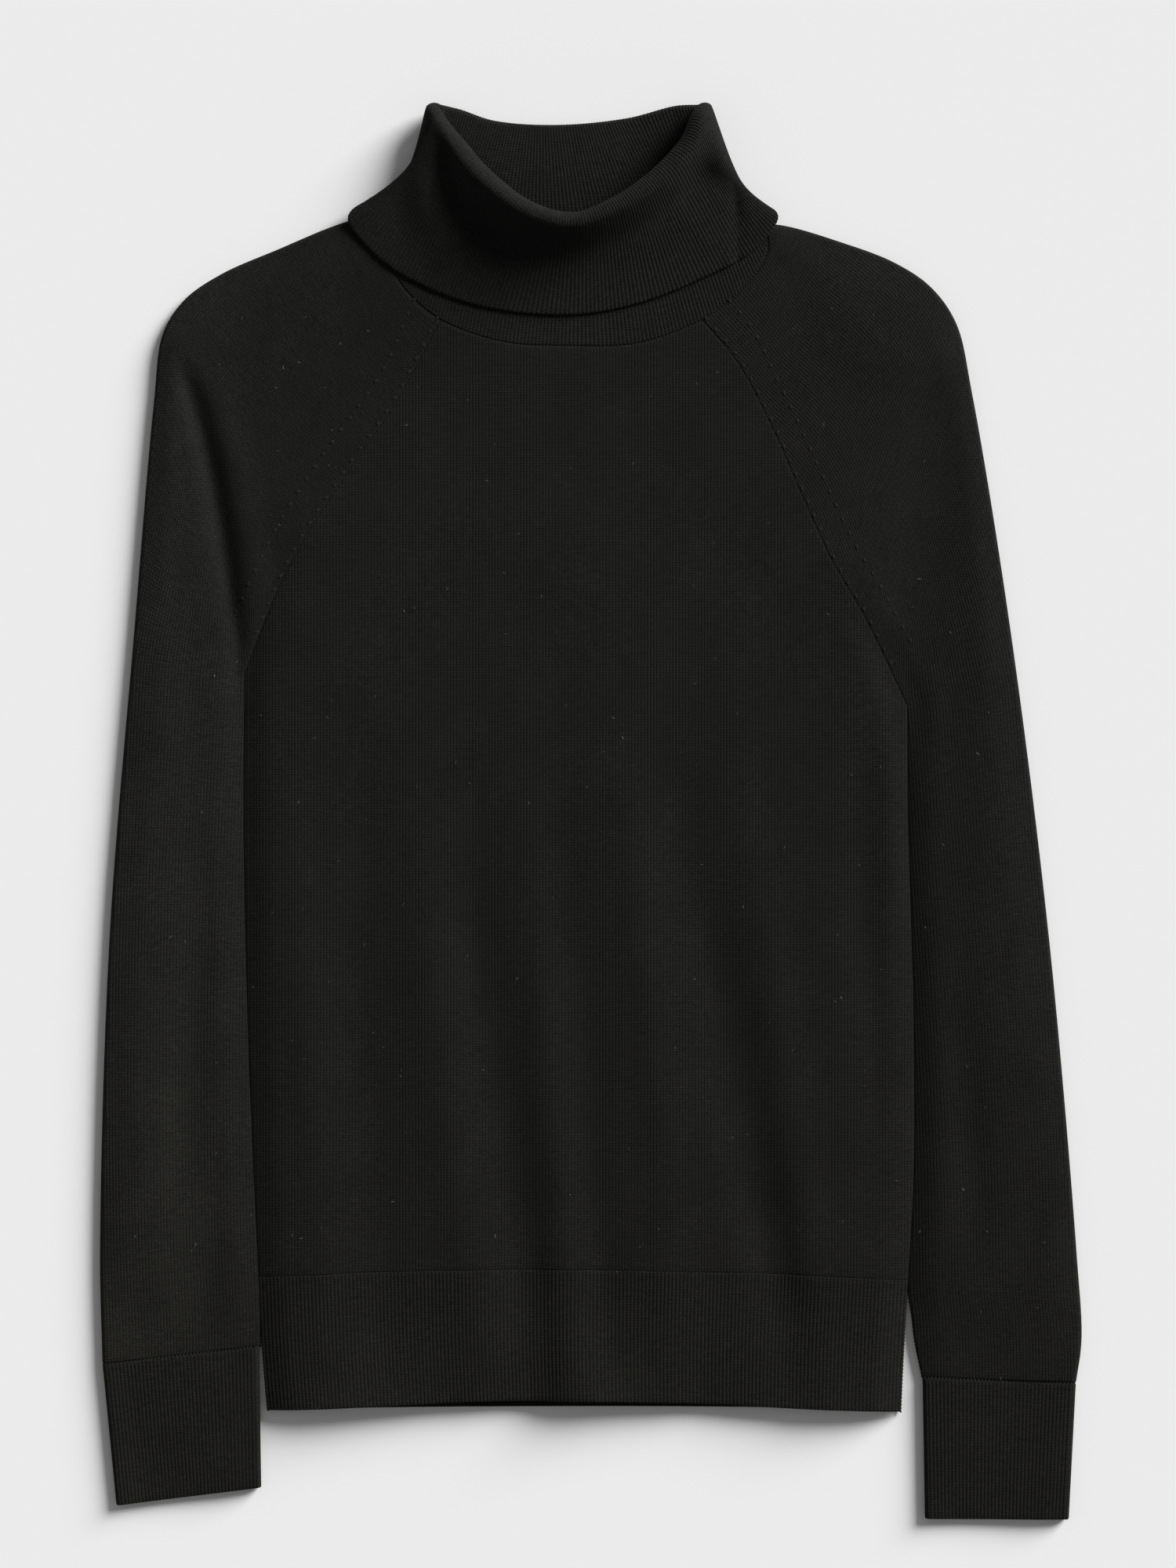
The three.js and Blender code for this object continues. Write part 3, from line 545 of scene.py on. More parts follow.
def roll_radius(station):
    radii = COLLAR[:, -1]
    return np.interp(station, np.arange(STATIONS), radii, period=STATIONS)


def even_stations(shares):
    """Stations at even steps round the collar, so that its ribs are evenly wide."""
    between = 40
    dense = np.linspace(0, STATIONS, between * STATIONS + 1)
    rings = [ring.at(dense[:-1]) for ring in (NECK_SEAM, COLLAR_FOLD, COLLAR_EDGE)]
    lengths = sum(np.linalg.norm(np.roll(ring, -1, 0) - ring, axis=1) for ring in rings)
    return np.interp(shares, summed(lengths) / lengths.sum(), dense)


def collar_point(v, station):
    """Up the stand from 0 to 1, round the roll to 2, down the fall to 3."""
    seam, stand_knee, fold, fall_knee, edge = (
        ring_point(ring, station) for ring in (NECK_SEAM, STAND_KNEE, COLLAR_FOLD, FALL_KNEE, COLLAR_EDGE)
    )
    step = 0.05
    tangent = unit(ring_point(COLLAR_FOLD, station + step) - ring_point(COLLAR_FOLD, station - step))
    roll = roll_radius(station)[..., None]
    up = unit(fold - mix(stand_knee, fall_knee, 0.5))
    outward = unit(np.cross(up, tangent))
    flat = ROLL_FLATNESS * roll
    centre = fold - up * (flat + WALL / 2)
    roll_start = centre - outward * roll
    roll_end = centre + outward * roll
    v = v[..., None]
    stand_handles = (mix(end, stand_knee, KNEE_PULL) for end in (seam, roll_start))
    fall_handles = (mix(end, fall_knee, KNEE_PULL) for end in (roll_end, edge))
    stand = bezier(seam, *stand_handles, roll_start, np.clip(v, 0, 1))
    angle = np.pi * (v - 1)
    turn = centre - outward * roll * np.cos(angle) + up * flat * np.sin(angle)
    fall = bezier(roll_end, *fall_handles, edge, np.clip(v - 2, 0, 1))
    p = np.where(v <= 1, stand, np.where(v <= 2, turn, fall))
    in_front = (station > RIGHT.neck[1]) | (station < LEFT.neck[1])
    creased = in_front & (v[..., 0] > 2)
    z = p[..., 2] + crease_height(p[..., 0], p[..., 1], COLLAR_CREASES) * creased
    return raised(p, np.maximum(z, WALL / 2))


# Walls of cloth

def steps(count, length):
    """Shares from 0 to 1, with three close steps at each end for a round edge."""
    close = np.array([0.12, 0.45, 1.0]) * WALL / 2 / length
    return np.unique(np.concatenate([np.linspace(0, 1, count + 1), close, 1 - close]))


def grid(rows, columns):
    return np.meshgrid(rows, columns, indexing="ij")


def run(points, axis):
    """Length along rows or columns, from 0."""
    lengths = np.linalg.norm(np.diff(points, axis=axis), axis=2)
    start = np.zeros_like(np.take(lengths, [0], axis))
    return np.concatenate([start, np.cumsum(lengths, axis)], axis)


def mesh_object(name, points, faces=(), edges=(), uvs=None):
    mesh = bpy.data.meshes.new(name)
    mesh.from_pydata(((points - MIDDLE) * MM).tolist(), edges, np.array(faces).tolist())
    if uvs is not None:
        mesh.uv_layers.new(name="knit").data.foreach_set("uv", (uvs * MM).ravel())
    mesh.shade_smooth()
    piece = bpy.data.objects.new(name, mesh)
    bpy.context.scene.collection.objects.link(piece)
    return piece


def volume_of(points, faces):
    a, b, c, d = (points[faces[:, k]] for k in range(4))
    return (np.cross(b, c) * a).sum() + (np.cross(c, d) * a).sum()


def wall(name, middle, knit, closed=False, ribs=None):
    """A closed thin shell round a middle surface, with round edges.

    knit is the place in the knitting of each point, across and along, in millimetres. ribs is
    (phase, lift) of each point: which rib it is on, and how much of the relief it gets.
    """
    rows, columns = middle.shape[:2]
    around = np.roll(middle, -1, 1) - np.roll(middle, 1, 1) if closed else np.gradient(middle, axis=1)
    normal = unit(np.cross(np.gradient(middle, axis=0), around))
    down = run(middle, 0)
    to_edge = np.minimum(down, down[-1:] - down)
    edge = np.zeros((rows, columns), bool)
    edge[[0, -1]] = True
    if not closed:
        over = run(middle, 1)
        to_edge = np.minimum(to_edge, np.minimum(over, over[:, -1:] - over))
        edge[:, [0, -1]] = True
    half = WALL / 2
    keep = np.sqrt(1 - (1 - np.clip(to_edge / half, 0, 1)) ** 2)[..., None]
    outer = middle + normal * half * keep
    inner = middle - normal * half * keep
    top = np.arange(rows * columns).reshape(rows, columns)
    under = top.copy()
    under[~edge] = rows * columns + np.arange((~edge).sum())
    points = np.concatenate([outer.reshape(-1, 3), inner[~edge]])

    i, j = np.mgrid[0 : rows - 1, 0 : columns if closed else columns - 1]
    k = (j + 1) % columns
    corners = [(i, j, j), (i, k, j + 1), (i + 1, k, j + 1), (i + 1, j, j)]
    upper = np.stack([top[a, b] for a, b, _ in corners], -1).reshape(-1, 4)
    lower = np.stack([under[a, b] for a, b, _ in corners], -1).reshape(-1, 4)
    uv = np.stack([knit[a, c] for a, _, c in corners], -2).reshape(-1, 4, 2)
    faces = np.concatenate([upper, lower[:, ::-1]])
    uvs = np.concatenate([uv, uv[:, ::-1]])
    if volume_of(points, faces) < 0:
        faces, uvs = faces[:, ::-1], uvs[:, ::-1]
    piece = mesh_object(name, points, faces, uvs=uvs)
    if ribs:
        for label, values in zip(("rib", "rib_lift"), ribs):
            both = np.concatenate([values.ravel(), values[~edge]])
            attribute = piece.data.attributes.new(label, "FLOAT", "POINT")
            attribute.data.foreach_set("value", both.astype(np.float32))
    return piece


def cut_of(middle, closed=False):
    """Width, length and area of a wall's flat cut, in metres."""
    if closed:
        middle = np.concatenate([middle, middle[:, :1]], 1)
    across = run(middle, 1)[:, -1].max()
    along = run(middle, 0)[-1].max()
    one = np.cross(middle[1:, :-1] - middle[:-1, :-1], middle[:-1, 1:] - middle[:-1, :-1])
    two = np.cross(middle[1:, :-1] - middle[1:, 1:], middle[:-1, 1:] - middle[1:, 1:])
    area = (np.linalg.norm(one, axis=2).sum() + np.linalg.norm(two, axis=2).sum()) / 2
    return (across * MM, along * MM), min(area, across * along) * MM**2


def finish_cloth(piece, node, middle, closed=False):
    """Hangs the piece of cloth on the root and hides the solid it stands for; the size it was knitted to is
    worked out but not used.
    """
    flat, area = cut_of(middle, closed)
    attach(piece, "root")
    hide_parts(node)


# Node trees

def add(tree, kind, inputs=None, **settings):
    """Adds a node with its settings, sets or links its inputs and gives its outputs."""
    made = tree.nodes.new(kind)
    for name, value in settings.items():
        setattr(made, name, value)
    for key, value in (inputs or {}).items():
        if isinstance(value, bpy.types.NodeSocket):
            tree.links.new(value, made.inputs[key])
        else:
            made.inputs[key].default_value = value
    return made.outputs


def new_tree(name, sockets):
    """A geometry tree with a geometry input and output and the named inputs."""
    tree = bpy.data.node_groups.new(name, "GeometryNodeTree")
    tree.interface.new_socket("Geometry", in_out="INPUT", socket_type="NodeSocketGeometry")
    for label, kind in sockets.items():
        tree.interface.new_socket(label, in_out="INPUT", socket_type=f"NodeSocket{kind}")
    tree.interface.new_socket("Geometry", in_out="OUTPUT", socket_type="NodeSocketGeometry")
    return tree, add(tree, "NodeGroupInput")


def end_tree(tree, geometry, material):
    real = add(tree, "GeometryNodeRealizeInstances", {"Geometry": geometry})
    painted = add(tree, "GeometryNodeSetMaterial", {"Geometry": real[0], "Material": material})
    add(tree, "NodeGroupOutput", {0: painted[0]})


def grow(piece, tree, values):
    """Runs a geometry tree on a piece and keeps the result as the piece's own mesh."""
    modifier = piece.modifiers.new(tree.name, "NODES")
    modifier.node_group = tree
    for item in tree.interface.items_tree:
        if item.in_out == "INPUT" and item.name in values:
            modifier[item.identifier] = values[item.name]
    evaluated = piece.evaluated_get(bpy.context.evaluated_depsgraph_get())
    made = bpy.data.meshes.new_from_object(evaluated)
    piece.modifiers.remove(modifier)
    plain, piece.data = piece.data, made
    bpy.data.meshes.remove(plain)
    if not len(made.polygons):
        raise RuntimeError(f"{tree.name} made nothing on {piece.name}")


def rib_wave(tree, phase):
    """From 0 in the groove beside a rib to 1 on top of it."""
    wave = add(tree, "ShaderNodeMath", {0: phase, 1: math.pi}, operation="MULTIPLY")[0]
    for operation in ("SINE", "ABSOLUTE"):
        wave = add(tree, "ShaderNodeMath", {0: wave}, operation=operation)[0]
    return wave


def rib_tree():
    """Sinks narrow grooves between round ribs, by each point's rib phase and lift."""
    tree, given = new_tree("rib relief", {"Depth": "Float", "Material": "Material"})
    phase, lift = (
        add(tree, "GeometryNodeInputNamedAttribute", {"Name": label}, data_type="FLOAT")[0]
        for label in ("rib", "rib_lift")
    )
    here = add(tree, "ShaderNodeMath", {0: rib_wave(tree, phase), 1: 1.0}, operation="SUBTRACT")[0]
    for factor in (given["Depth"], lift):
        here = add(tree, "ShaderNodeMath", {0: here, 1: factor}, operation="MULTIPLY")[0]
    normal = add(tree, "GeometryNodeInputNormal")
    offset = add(tree, "ShaderNodeVectorMath", {0: normal[0], "Scale": here}, operation="SCALE")
    moved = add(tree, "GeometryNodeSetPosition", {"Geometry": given["Geometry"], "Offset": offset[0]})
    end_tree(tree, moved[0], given["Material"])
    return tree


def stitch_tree():
    """Loops of yarn along paths, each a short bead turned a little off the path."""
    tree, given = new_tree("stitches on a path", {
        "Pitch": "Float", "Size": "Vector", "Turn": "Float", "Material": "Material",
    })
    path = add(tree, "GeometryNodeMeshToCurve", {"Mesh": given["Geometry"]})
    sampling = {"Curve": path[0], "Length": given["Pitch"]}
    even = add(tree, "GeometryNodeResampleCurve", sampling, mode="LENGTH")
    tangent = add(tree, "GeometryNodeInputTangent")[0]
    facing = add(tree, "FunctionNodeAlignRotationToVector", {"Vector": tangent}, axis="X", pivot_axis="Z")
    turned = add(tree, "ShaderNodeCombineXYZ", {"Z": given["Turn"]})
    rotation = add(tree, "FunctionNodeRotateRotation", {
        "Rotation": facing[0], "Rotate By": turned[0],
    }, rotation_space="LOCAL")
    bead = add(tree, "GeometryNodeMeshUVSphere", {"Segments": 6, "Rings": 4, "Radius": 0.5})
    soft = add(tree, "GeometryNodeSetShadeSmooth", {"Geometry": bead[0]})
    loops = add(tree, "GeometryNodeInstanceOnPoints", {
        "Points": even[0], "Instance": soft[0],
        "Rotation": rotation[0], "Scale": given["Size"],
    })
    end_tree(tree, loops[0], given["Material"])
    return tree


def lint_tree():
    """Short bent fibres scattered over the cloth's upper side."""
    tree, given = new_tree("lint", {
        "Density": "Float", "Length": "Float", "Thickness": "Float", "Seed": "Int", "Material": "Material",
    })
    spots = add(tree, "GeometryNodeDistributePointsOnFaces", {
        "Mesh": given["Geometry"], "Density": given["Density"], "Seed": given["Seed"],
    })
    reach = add(tree, "ShaderNodeCombineXYZ", {"X": given["Length"]})
    bend = add(tree, "ShaderNodeVectorMath", {0: reach[0], 1: (0.5, 0.5, 0.0)}, operation="MULTIPLY")
    side = add(tree, "ShaderNodeMath", {0: given["Length"], 1: 0.35}, operation="MULTIPLY")
    middle = add(tree, "ShaderNodeCombineXYZ", {"Y": side[0]})
    peak = add(tree, "ShaderNodeVectorMath", {0: bend[0], 1: middle[0]}, operation="ADD")
    fibre = add(tree, "GeometryNodeCurveQuadraticBezier", {
        "Resolution": 5, "Start": (0.0, 0.0, 0.0), "Middle": peak[0], "End": reach[0],
    })
    radius = add(tree, "ShaderNodeMath", {0: given["Thickness"], 1: 0.5}, operation="MULTIPLY")
    section = add(tree, "GeometryNodeCurvePrimitiveCircle", {"Resolution": 4, "Radius": radius[0]})
    tube = add(tree, "GeometryNodeCurveToMesh", {
        "Curve": fibre[0], "Profile Curve": section[0], "Fill Caps": True,
    })
    spin = add(tree, "FunctionNodeRandomValue", {
        "Max": (0.0, 0.0, 2 * math.pi), "Seed": given["Seed"],
    }, data_type="FLOAT_VECTOR")
    size = add(tree, "FunctionNodeRandomValue", {
        "Min": (0.35,) * 3, "Max": (1.0,) * 3, "Seed": 7,
    }, data_type="FLOAT_VECTOR")
    fibres = add(tree, "GeometryNodeInstanceOnPoints", {
        "Points": spots[0], "Instance": tube[0],
        "Rotation": spin[0], "Scale": size[0],
    })
    end_tree(tree, fibres[0], given["Material"])
    return tree


# Finishes

FUZZ_SCALE = 950.0  # to a metre, tufts of hair about 1 mm apart
CLOUD_SCALE = 38.0  # to a metre, patches of pile about 26 mm wide
HUE_SCALE = 230.0  # to a metre, cooler and warmer specks about 4 mm wide
YARN_SCALE = (130.0, 800.0, 1.0)  # to a metre, thick and thin yarn, 8 mm along a row and 1.2 mm high
LEG_SLOPE = 1.1  # rows that a leg of a stitch climbs over its column
HEM_TINT = (0.91, 0.88, 0.76)  # the colour at the hem, darker and warmer, to the colour at the chest
PAINTED_LIGHT_LEFT_SLEEVE = (-0.175, -0.225)  # in metres, from the body's edge to the left sleeve's middle, over which painted light brightens the sleeve
TINT_FROM, TINT_TO = 0.15, -0.3  # in metres, from the chest to the hem


def linear(code):
    """A hex colour as linear red, green, blue and alpha."""
    channels = [int(code[k : k + 2], 16) / 255 for k in (1, 3, 5)]
    levels = [c / 12.92 if c <= 0.04045 else ((c + 0.055) / 1.055) ** 2.4 for c in channels]
    return (*levels, 1.0)


def material_of(name, finish, *values):
    """The material by name, made with the finish's shader values if it isn't there yet."""
    found = bpy.data.materials.get(name)
    if found:
        return found
    made = bpy.data.materials.new(name)
    made.use_nodes = True
    tree = made.node_tree
    tree.nodes.clear()
    shader = add(tree, "ShaderNodeBsdfPrincipled", finish(tree, *values))
    add(tree, "ShaderNodeOutputMaterial", {"Surface": shader[0]})
    return made


def merino(tree, colour, wale, course, ribbed):
    """Matte black merino wool, knitted: columns of V-shaped stitches, with shade painted into the colour
    where they meet.

    The yarn is soft and hairy, so it has no gloss, only a thin bloom of pale fibre ends.
    """
    # Relief from 0 to 1, of which the legs of a V give 0.45 and the groove between columns 0.55; it bumps
    # the surface, and below it also paints shade into the colour where it is low
    place = add(tree, "ShaderNodeUVMap", uv_map="knit")[0]
    stitches = add(tree, "ShaderNodeMapping", {"Vector": place, "Scale": (1 / wale, 1 / course, 1)})[0]
    across, along = add(tree, "ShaderNodeSeparateXYZ", {0: stitches})[:2]
    lean = add(tree, "ShaderNodeMath", {0: across, 1: 0.5}, operation="PINGPONG")[0]
    climbed = add(tree, "ShaderNodeMath", {0: lean, 1: LEG_SLOPE, 2: along}, operation="MULTIPLY_ADD")[0]
    turned = add(tree, "ShaderNodeMath", {0: climbed, 1: math.tau}, operation="MULTIPLY")[0]
    legs = add(tree, "ShaderNodeMath", {0: turned}, operation="SINE")[0]
    leg_height = add(tree, "ShaderNodeMapRange", {0: legs, 1: -1.0, 2: 1.0, 3: 0.0, 4: 0.45})[0]
    column = add(tree, "ShaderNodeMapRange", {
        0: lean, 1: 0.0, 2: 0.3, 3: 0.0, 4: 0.55,
    }, interpolation_type="SMOOTHSTEP")[0]
    height = add(tree, "ShaderNodeMath", {0: leg_height, 1: column}, operation="ADD")[0]

    body = add(tree, "ShaderNodeTexCoord")["Object"]
    right, up = add(tree, "ShaderNodeSeparateXYZ", {0: body})[:2]
    rows = add(tree, "ShaderNodeMapping", {"Vector": place, "Scale": YARN_SCALE})[0]
    fuzz, clouds, hues, yarns = (
        add(tree, "ShaderNodeTexNoise", {"Vector": where, "Scale": scale, "Detail": detail})[0]
        for where, scale, detail in (
            (body, FUZZ_SCALE, 4.0), (body, CLOUD_SCALE, 4.0), (body, HUE_SCALE, 2.0), (rows, 1.0, 2.0),
        )
    )
    # Each pattern, the two ends of its range, and how bright the colour is at each; some of them paint
    # shade or light into it
    layers = [
        (height, 0.0, 1.0, 0.72, 1.1),  # painted shade between the stitches' legs, lighter on them
        (yarns, 0.3, 0.7, 0.8, 1.2),  # thin and thick yarn along a row
        (fuzz, 0.3, 0.7, 0.62, 1.42),  # between the hairs, and on them
        (clouds, 0.3, 0.7, 0.9, 1.1),  # pile that lies this way and that
        (right, *PAINTED_LIGHT_LEFT_SLEEVE, 1.0, 1.12 if ribbed else 1.54),  # painted light, brightening the left sleeve
    ]
    if ribbed:
        phase = add(tree, "ShaderNodeAttribute", attribute_name="rib")["Fac"]
        # painted shade: the colour is darker in the grooves between ribs
        layers.append((rib_wave(tree, phase), 0.0, 0.9, 0.96, 1.02))
    tone = 1.0
    for pattern, start, end, at_start, at_end in layers:
        shade = add(tree, "ShaderNodeMapRange", {
            0: pattern, 1: start, 2: end, 3: at_start, 4: at_end,
        })[0]
        tone = add(tree, "ShaderNodeMath", {0: tone, 1: shade}, operation="MULTIPLY")[0]

    # Specks of a darker, warmer colour, more of them towards the hem, where the whole colour grows darker
    # and warmer
    towards_hem = add(tree, "ShaderNodeMapRange", {0: up, 1: TINT_FROM, 2: TINT_TO, 3: 0.0, 4: 1.0})[0]
    warmth = add(tree, "ShaderNodeMath", {0: hues, 1: 1.2, 2: towards_hem}, operation="MULTIPLY_ADD")[0]
    cool = tuple(colour[:3])
    warm = tuple(level * share for level, share in zip(cool, HEM_TINT))
    dye = add(tree, "ShaderNodeMapRange", {
        "Vector": warmth, 7: (0.2,) * 3, 8: (1.8,) * 3, 9: cool, 10: warm,
    }, data_type="FLOAT_VECTOR")[1]
    base = add(tree, "ShaderNodeVectorMath", {0: dye, "Scale": tone}, operation="SCALE")[0]
    relief = add(tree, "ShaderNodeMath", {0: fuzz, 1: 0.25, 2: height}, operation="MULTIPLY_ADD")[0]
    bump = add(tree, "ShaderNodeBump", {"Height": relief, "Strength": 0.7, "Distance": 0.00035})[0]
    return {
        "Base Color": base, "Roughness": 0.92, "Specular IOR Level": 0.08, "Sheen Weight": 0.03,
        "Sheen Roughness": 0.6, "Sheen Tint": linear("#b9bab6"), "Normal": bump,
    }


def mottled(tree, colour, scale, detail, low, high):
    """A colour made darker and lighter by fine noise, and the noise."""
    spot = add(tree, "ShaderNodeTexCoord")["Object"]
    noise = add(tree, "ShaderNodeTexNoise", {"Vector": spot, "Scale": scale, "Detail": detail})[0]
    depth = add(tree, "ShaderNodeMapRange", {0: noise, 1: 0.3, 2: 0.7, 3: low, 4: high})[0]
    dye = tuple(colour[:3])
    return add(tree, "ShaderNodeVectorMath", {0: dye, "Scale": depth}, operation="SCALE")[0], noise


def yarn(tree, colour):
    """Loose black merino yarn, two-ply: soft and matte, paler where its hairs stand out."""
    base, hairs = mottled(tree, colour, scale=2600.0, detail=3.0, low=1.0, high=1.8)
    bump = add(tree, "ShaderNodeBump", {"Height": hairs, "Strength": 0.4, "Distance": 0.0002})[0]
    return {"Base Color": base, "Roughness": 0.92, "Specular IOR Level": 0.08, "Normal": bump}


def pale_fibre(tree, colour):
    """Stray pale wool and dust fibres: matte and fine, some nearly as dark as the cloth."""
    base, _ = mottled(tree, colour, scale=70.0, detail=2.0, low=0.4, high=1.3)
    return {"Base Color": base, "Roughness": 0.8}


def floor_paper(tree, colour):
    """Matte seamless paper: an even pale sheet with the faintest grain and no gloss."""
    spot = add(tree, "ShaderNodeTexCoord")["Object"]
    grain = add(tree, "ShaderNodeTexNoise", {"Vector": spot, "Scale": 900.0, "Detail": 2.0})[0]
    bump = add(tree, "ShaderNodeBump", {"Height": grain, "Strength": 0.05, "Distance": 0.0002})[0]
    return {"Base Color": tuple(colour), "Roughness": 0.95, "Specular IOR Level": 0.1, "Normal": bump}


# Properties

def distance(label, what, default):
    return bpy.props.FloatProperty(
        name=label, description=what, default=default, min=0, max=1, unit="LENGTH", precision=5
    )


def colour(label, what, code):
    return bpy.props.FloatVectorProperty(
        name=label, description=what, default=linear(code), size=4, min=0, max=1, subtype="COLOR"
    )


class SweaterSizes(bpy.types.PropertyGroup):
    """Sizes that a user would change, in metres."""

    crease_strength: bpy.props.FloatProperty(
        name="Crease strength", description="Height of the laid cloth's soft creases",
        default=0.94, min=0, max=1.5,
    )
    rib_depth: distance("Rib depth", "Depth of the groove between two ribs", 0.00017)
    rib_pitch: distance(
        "Rib pitch", "From rib to rib on hem and cuffs; 1.45 mm knitted, drawn coarser to show", 0.002
    )
    collar_ribs: bpy.props.IntProperty(
        name="Collar ribs", description="Ribs all round the collar", default=230, min=60, max=300
    )
    wale: distance("Wale", "Width of a knitted column; 1.15 mm knitted, drawn coarser to show", 0.0017)
    course: distance("Course", "Height of a knitted row; 0.96 mm knitted, drawn coarser to show", 0.0014)
    stitch_pitch: distance("Stitch pitch", "From loop to loop along a linked seam", 0.0019)
    mark_pitch: distance("Mark pitch", "From mark to mark where the knitting was narrowed", 0.008)
    lint_density: bpy.props.FloatProperty(
        name="Lint density", description="Stray fibres to a square metre", default=650, min=0, max=5000
    )


class SweaterColours(bpy.types.PropertyGroup):
    """Colours that a user would change."""

    knit: colour("Jersey", "Body and sleeves", "#181817")
    rib: colour("Ribbing", "Cuffs, hem and collar", "#181817")
    lint: colour("Lint", "Stray fibres on the cloth", "#77787a")
    floor: colour("Floor", "The pale floor", "#ededed")


# Operators

class SWEATER_OT_stage(bpy.types.Operator):
    """Add the floor, the soft light from the upper right and the camera straight above"""

    bl_idname = "sweater.stage"
    bl_label = "Floor, light and camera"

    def execute(self, context):
        corners = FLOOR_REACH * np.array([(-1, -1, 0), (1, -1, 0), (1, 1, 0), (-1, 1, 0)], float)
        floor = mesh_object("floor", corners, [(0, 1, 2, 3)])
        floor.data.materials.append(
            material_of("seamless paper, matte off-white", floor_paper, colours().floor)
        )

        sky = bpy.data.worlds.new("soft room light")
        sky.use_nodes = True
        background = sky.node_tree.nodes["Background"]
        background.inputs["Color"].default_value = (1, 1, 1, 1)
        background.inputs["Strength"].default_value = SKY_STRENGTH
        context.scene.world = sky
        context.scene.view_settings.view_transform = "Standard"

        lamp = bpy.data.lights.new("window", "SUN")
        lamp.energy = SUN_STRENGTH
        lamp.angle = math.radians(SUN_SPREAD)
        window = bpy.data.objects.new("window", lamp)
        high, turned = math.radians(SUN_HEIGHT), math.radians(SUN_TURN)
        level = math.cos(high)
        towards = Vector((level * math.cos(turned), level * math.sin(turned), math.sin(high)))
        window.rotation_euler = towards.to_track_quat("Z", "Y").to_euler()
        window.location = towards * 2
        context.scene.collection.objects.link(window)

        lens = bpy.data.cameras.new("overhead")
        lens.lens = LENS
        lens.sensor_width = SENSOR
        camera = bpy.data.objects.new("overhead", lens)
        camera.location = (*FRAME_CENTRE, FRAME_LEVEL + FRAME_HEIGHT * LENS / SENSOR)
        context.scene.collection.objects.link(camera)
        context.scene.camera = camera
        return {"FINISHED"}


def knit_plain(node, middle, knit):
    """A wall of jersey that stands for a node."""
    piece = wall(f"{node}_knit", middle, knit)
    look = (colours().knit, sizes().wale, sizes().course, False)
    piece.data.materials.append(material_of("merino jersey, matte black", merino, *look))
    finish_cloth(piece, node, middle)


def body_grid(face, rows, columns):
    v, u = grid(2 * steps(rows, length=540), steps(columns, length=360))
    return body_point(v, near_ends(u), face)


class SWEATER_OT_body(bpy.types.Operator):
    """Knit the front and back panels"""

    bl_idname = "sweater.body"
    bl_label = "Front and back panels"

    def execute(self, context):
        panels = (("front", 150, 130, "back_panel_knit"), ("back", 40, 40, "floor"))
        for face, rows, columns, below in panels:
            middle = body_grid(face, rows, columns)
            knit_plain(f"{face}_panel", middle, middle[..., :2])
        return {"FINISHED"}


def sleeve_grid(side, rows=150):
    """A sleeve's middle surface, with close columns at both edges and round the fold."""
    fold_end = TOP_SHARE + FOLD_SHARE
    top, rest = (steps(count, length=90) for count in (52, 20))
    round_fold = np.linspace(TOP_SHARE, fold_end, 12)
    columns = np.concatenate([top[:-4] * TOP_SHARE, round_fold[:-1], mix(fold_end, 1, rest[4:])])
    v, u = grid(2 * steps(rows, length=640), columns)
    return sleeve_point(side, v, u)


def sleeve_knit(middle):
    """Across and along a sleeve, from its middle line and from its neck."""
    across = run(middle, 1)
    top = np.argmax(middle[..., 2] < CUFF_HEIGHT / 2, axis=1)
    centre = np.take_along_axis(across, (top // 2)[:, None], 1)
    spine = np.take_along_axis(middle, (top // 2)[:, None, None].repeat(3, 2), 1)[:, 0]
    along = summed(np.linalg.norm(np.diff(spine, axis=0), axis=1))
    return np.stack([across - centre, np.broadcast_to(along[:, None], across.shape)], -1)


class SWEATER_OT_sleeves(bpy.types.Operator):
    """Knit both raglan sleeves"""

    bl_idname = "sweater.sleeves"
    bl_label = "Sleeves"

    def execute(self, context):
        for side in SIDES:
            middle = sleeve_grid(side)
            knit_plain(f"sleeve_{side.name}", middle, sleeve_knit(middle))
        return {"FINISHED"}


def rib_count(width):
    return round(width / (sizes().rib_pitch / MM))


def tube_columns(ribs):
    return np.arange(ribs * RIB_COLUMNS) / (ribs * RIB_COLUMNS)


def rib_place(phase, middle, closed):
    """Place in the knitting where a rib is one column wide."""
    pitch = sizes().rib_pitch / MM
    along = run(middle, 0)
    if closed:
        ribs = round(phase.max() + phase[0, 1])
        phase = np.concatenate([phase, np.full((len(phase), 1), ribs)], 1)
        along = np.concatenate([along, along[:, :1]], 1)
    return np.stack([phase * pitch, along], -1)


def knit_rib(node, middle, phase, tree, closed):
    """A ribbed wall that stands for a node, its ribs starting a little way in from the first row."""
    lift = smooth(run(middle, 0) / RIB_START)
    knit = rib_place(phase, middle, closed)
    piece = wall(f"{node}_rib", middle, knit, closed, ribs=(phase, lift))
    look = (colours().rib, sizes().rib_pitch, sizes().course, True)
    grow(piece, tree, {
        "Depth": sizes().rib_depth, "Material": material_of("merino rib, matte black", merino, *look),
    })
    finish_cloth(piece, node, middle, closed)


class SWEATER_OT_cuffs(bpy.types.Operator):
    """Knit both ribbed cuffs"""

    bl_idname = "sweater.cuffs"
    bl_label = "Cuffs"

    def execute(self, context):
        tree = rib_tree()
        for side in SIDES:
            ribs = rib_count(2 * np.linalg.norm(side.cuff[1] - side.cuff[0]))
            v, u = grid(steps(24, length=75), tube_columns(ribs))
            knit_rib(f"cuff_{side.name}", cuff_point(side, v, u), u * ribs, tree, closed=True)
        return {"FINISHED"}


